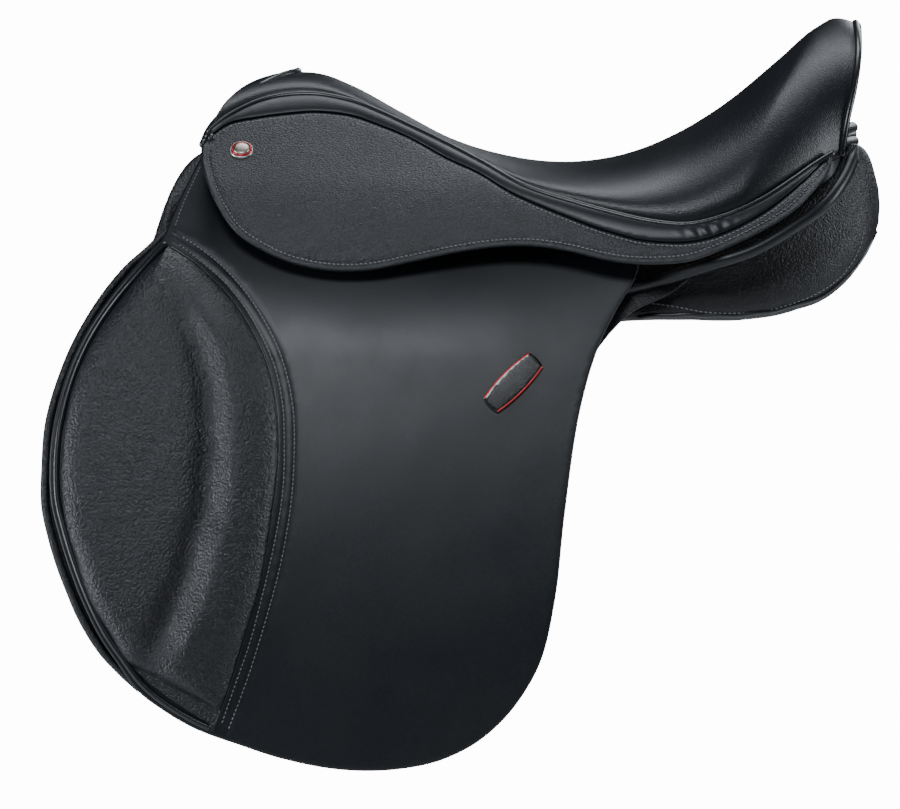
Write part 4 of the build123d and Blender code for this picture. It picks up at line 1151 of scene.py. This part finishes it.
for name, start, end in (("girth_web_front", -168, -132), ("girth_web_rear", -124, -62)):
    web = shell(web_rows(start, end, -11.0, 4.3), web_rows(start, end, -12.7, 2.7))
    single(name, web, web_cloth, (name,))
web_x = np.linspace(-221.5, 149.5, 150)
web_y = np.linspace(-25.8, 25.8, 21)
web_top = np.array([[(x, y, float(height_on(TREE_TOP, x)) + 2.2) for y in web_y] for x in web_x])
single("seat_web", shell(web_top, web_top - (0, 0, 1.8)), web_cloth, ("seat_web",))

# ---- what stays as the frame has it, with its own finish ----
KEEP = {
    "tree": wood, "gullet_plate": steel, "gullet_screws": steel, "stirrup_bar": steel, "bar_catch": steel,
    "catch_pins": steel, "bar_rivets": brass,
}
for name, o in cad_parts.items():
    for start, mat in KEEP.items():
        if name.startswith(start):
            o.data.materials.clear()
            o.data.materials.append(mat)
            if "rest" not in o.data.attributes:
                keep_rest(o.data)

# ---- stitching ----
def thread_rows(name, rows, near_body, off_body, blend=None):
    both(name, join(*rows), thread, near_body, off_body, (), blend)


thread_rows("flap_stitches", [stitches(flap_side, row[3:-2], -0.4) for row in (inner_row, outer_row)],
            "flap_near", "flap_off")
front_row = smooth([(-262.6, 64.5), (-267.6, 53.5), (-274.5, 37.5), (-280, 21.5)], 1.6)
thread_rows("front_stitches", [stitches(flap_side, front_row, 0.0, 3.4)], None, None, (fa, fb, "flap"))
thread_rows("skirt_stitches", [stitches(skirt_side, hem_row, 3.2), stitches(skirt_side, seam_row, 3.1)],
            None, None, (sa, sb, "skirt"))

# ---- floor, light and camera ----
bpy.ops.mesh.primitive_plane_add(size=5.6, location=(0, 0, -0.62))
floor = bpy.context.object
floor.name = "floor"
fmat = bpy.data.materials.new("floor_pale")
fmat.use_nodes = True
fmat.node_tree.nodes["Principled BSDF"].inputs["Base Color"].default_value = (0.86, 0.86, 0.86, 1)
fmat.node_tree.nodes["Principled BSDF"].inputs["Roughness"].default_value = 0.9
floor.data.materials.append(fmat)

world = bpy.data.worlds.new("studio")
bpy.context.scene.world = world
world.use_nodes = True
wt = world.node_tree
wt.nodes["Background"].inputs["Color"].default_value = (0.82, 0.9, 1, 1)
wt.nodes["Background"].inputs["Strength"].default_value = 0.02
seen = wt.nodes.new("ShaderNodeBackground")
seen.inputs["Color"].default_value = (1, 1, 1, 1)
seen.inputs["Strength"].default_value = 14.0
path = wt.nodes.new("ShaderNodeLightPath")
mixer = wt.nodes.new("ShaderNodeMixShader")
wt.links.new(path.outputs["Is Camera Ray"], mixer.inputs[0])
wt.links.new(wt.nodes["Background"].outputs[0], mixer.inputs[1])
wt.links.new(seen.outputs[0], mixer.inputs[2])
wt.links.new(mixer.outputs[0], wt.nodes["World Output"].inputs["Surface"])


def softbox(name, place, aim, size, power):
    data = bpy.data.lights.new(name, "AREA")
    data.shape = "RECTANGLE"
    data.size, data.size_y = size
    data.energy = power
    data.color = (0.9, 0.95, 1.0)
    o = bpy.data.objects.new(name, data)
    bpy.context.scene.collection.objects.link(o)
    o.location = place
    o.rotation_euler = (Vector(aim) - Vector(place)).to_track_quat("-Z", "Y").to_euler()
    return o


softbox("front_top", (-0.45, -2.05, 1.55), (-0.15, 0, -0.1), (1.0, 0.62), 30)
softbox("left", (-2.45, -0.75, 0.05), (-0.25, 0, -0.15), (0.45, 1.5), 44)
softbox("right", (2.3, -0.35, 0.7), (0.15, 0, 0.0), (0.5, 1.3), 30)
softbox("top", (0.15, 0.55, 2.4), (0, 0, 0), (1.6, 0.9), 30)
softbox("rear", (1.2, 2.4, 1.2), (0, 0, -0.1), (1.6, 1.4), 22)

cam_data = bpy.data.cameras.new("camera")
LENS, SENSOR, VIEW_WIDTH, NEAR_SIDE, RISE = 500, 36, 0.63, 0.12, 0.06
cam_data.lens = LENS
cam_data.sensor_width = SENSOR
cam = bpy.data.objects.new("camera", cam_data)
bpy.context.scene.collection.objects.link(cam)
distance = LENS / SENSOR * VIEW_WIDTH + NEAR_SIDE
aim = Vector((-0.0875, 0, -0.1036))
cam.location = (aim.x, -distance, aim.z + RISE)
cam.rotation_euler = (aim - cam.location).to_track_quat("-Z", "Y").to_euler()
bpy.context.scene.camera = cam
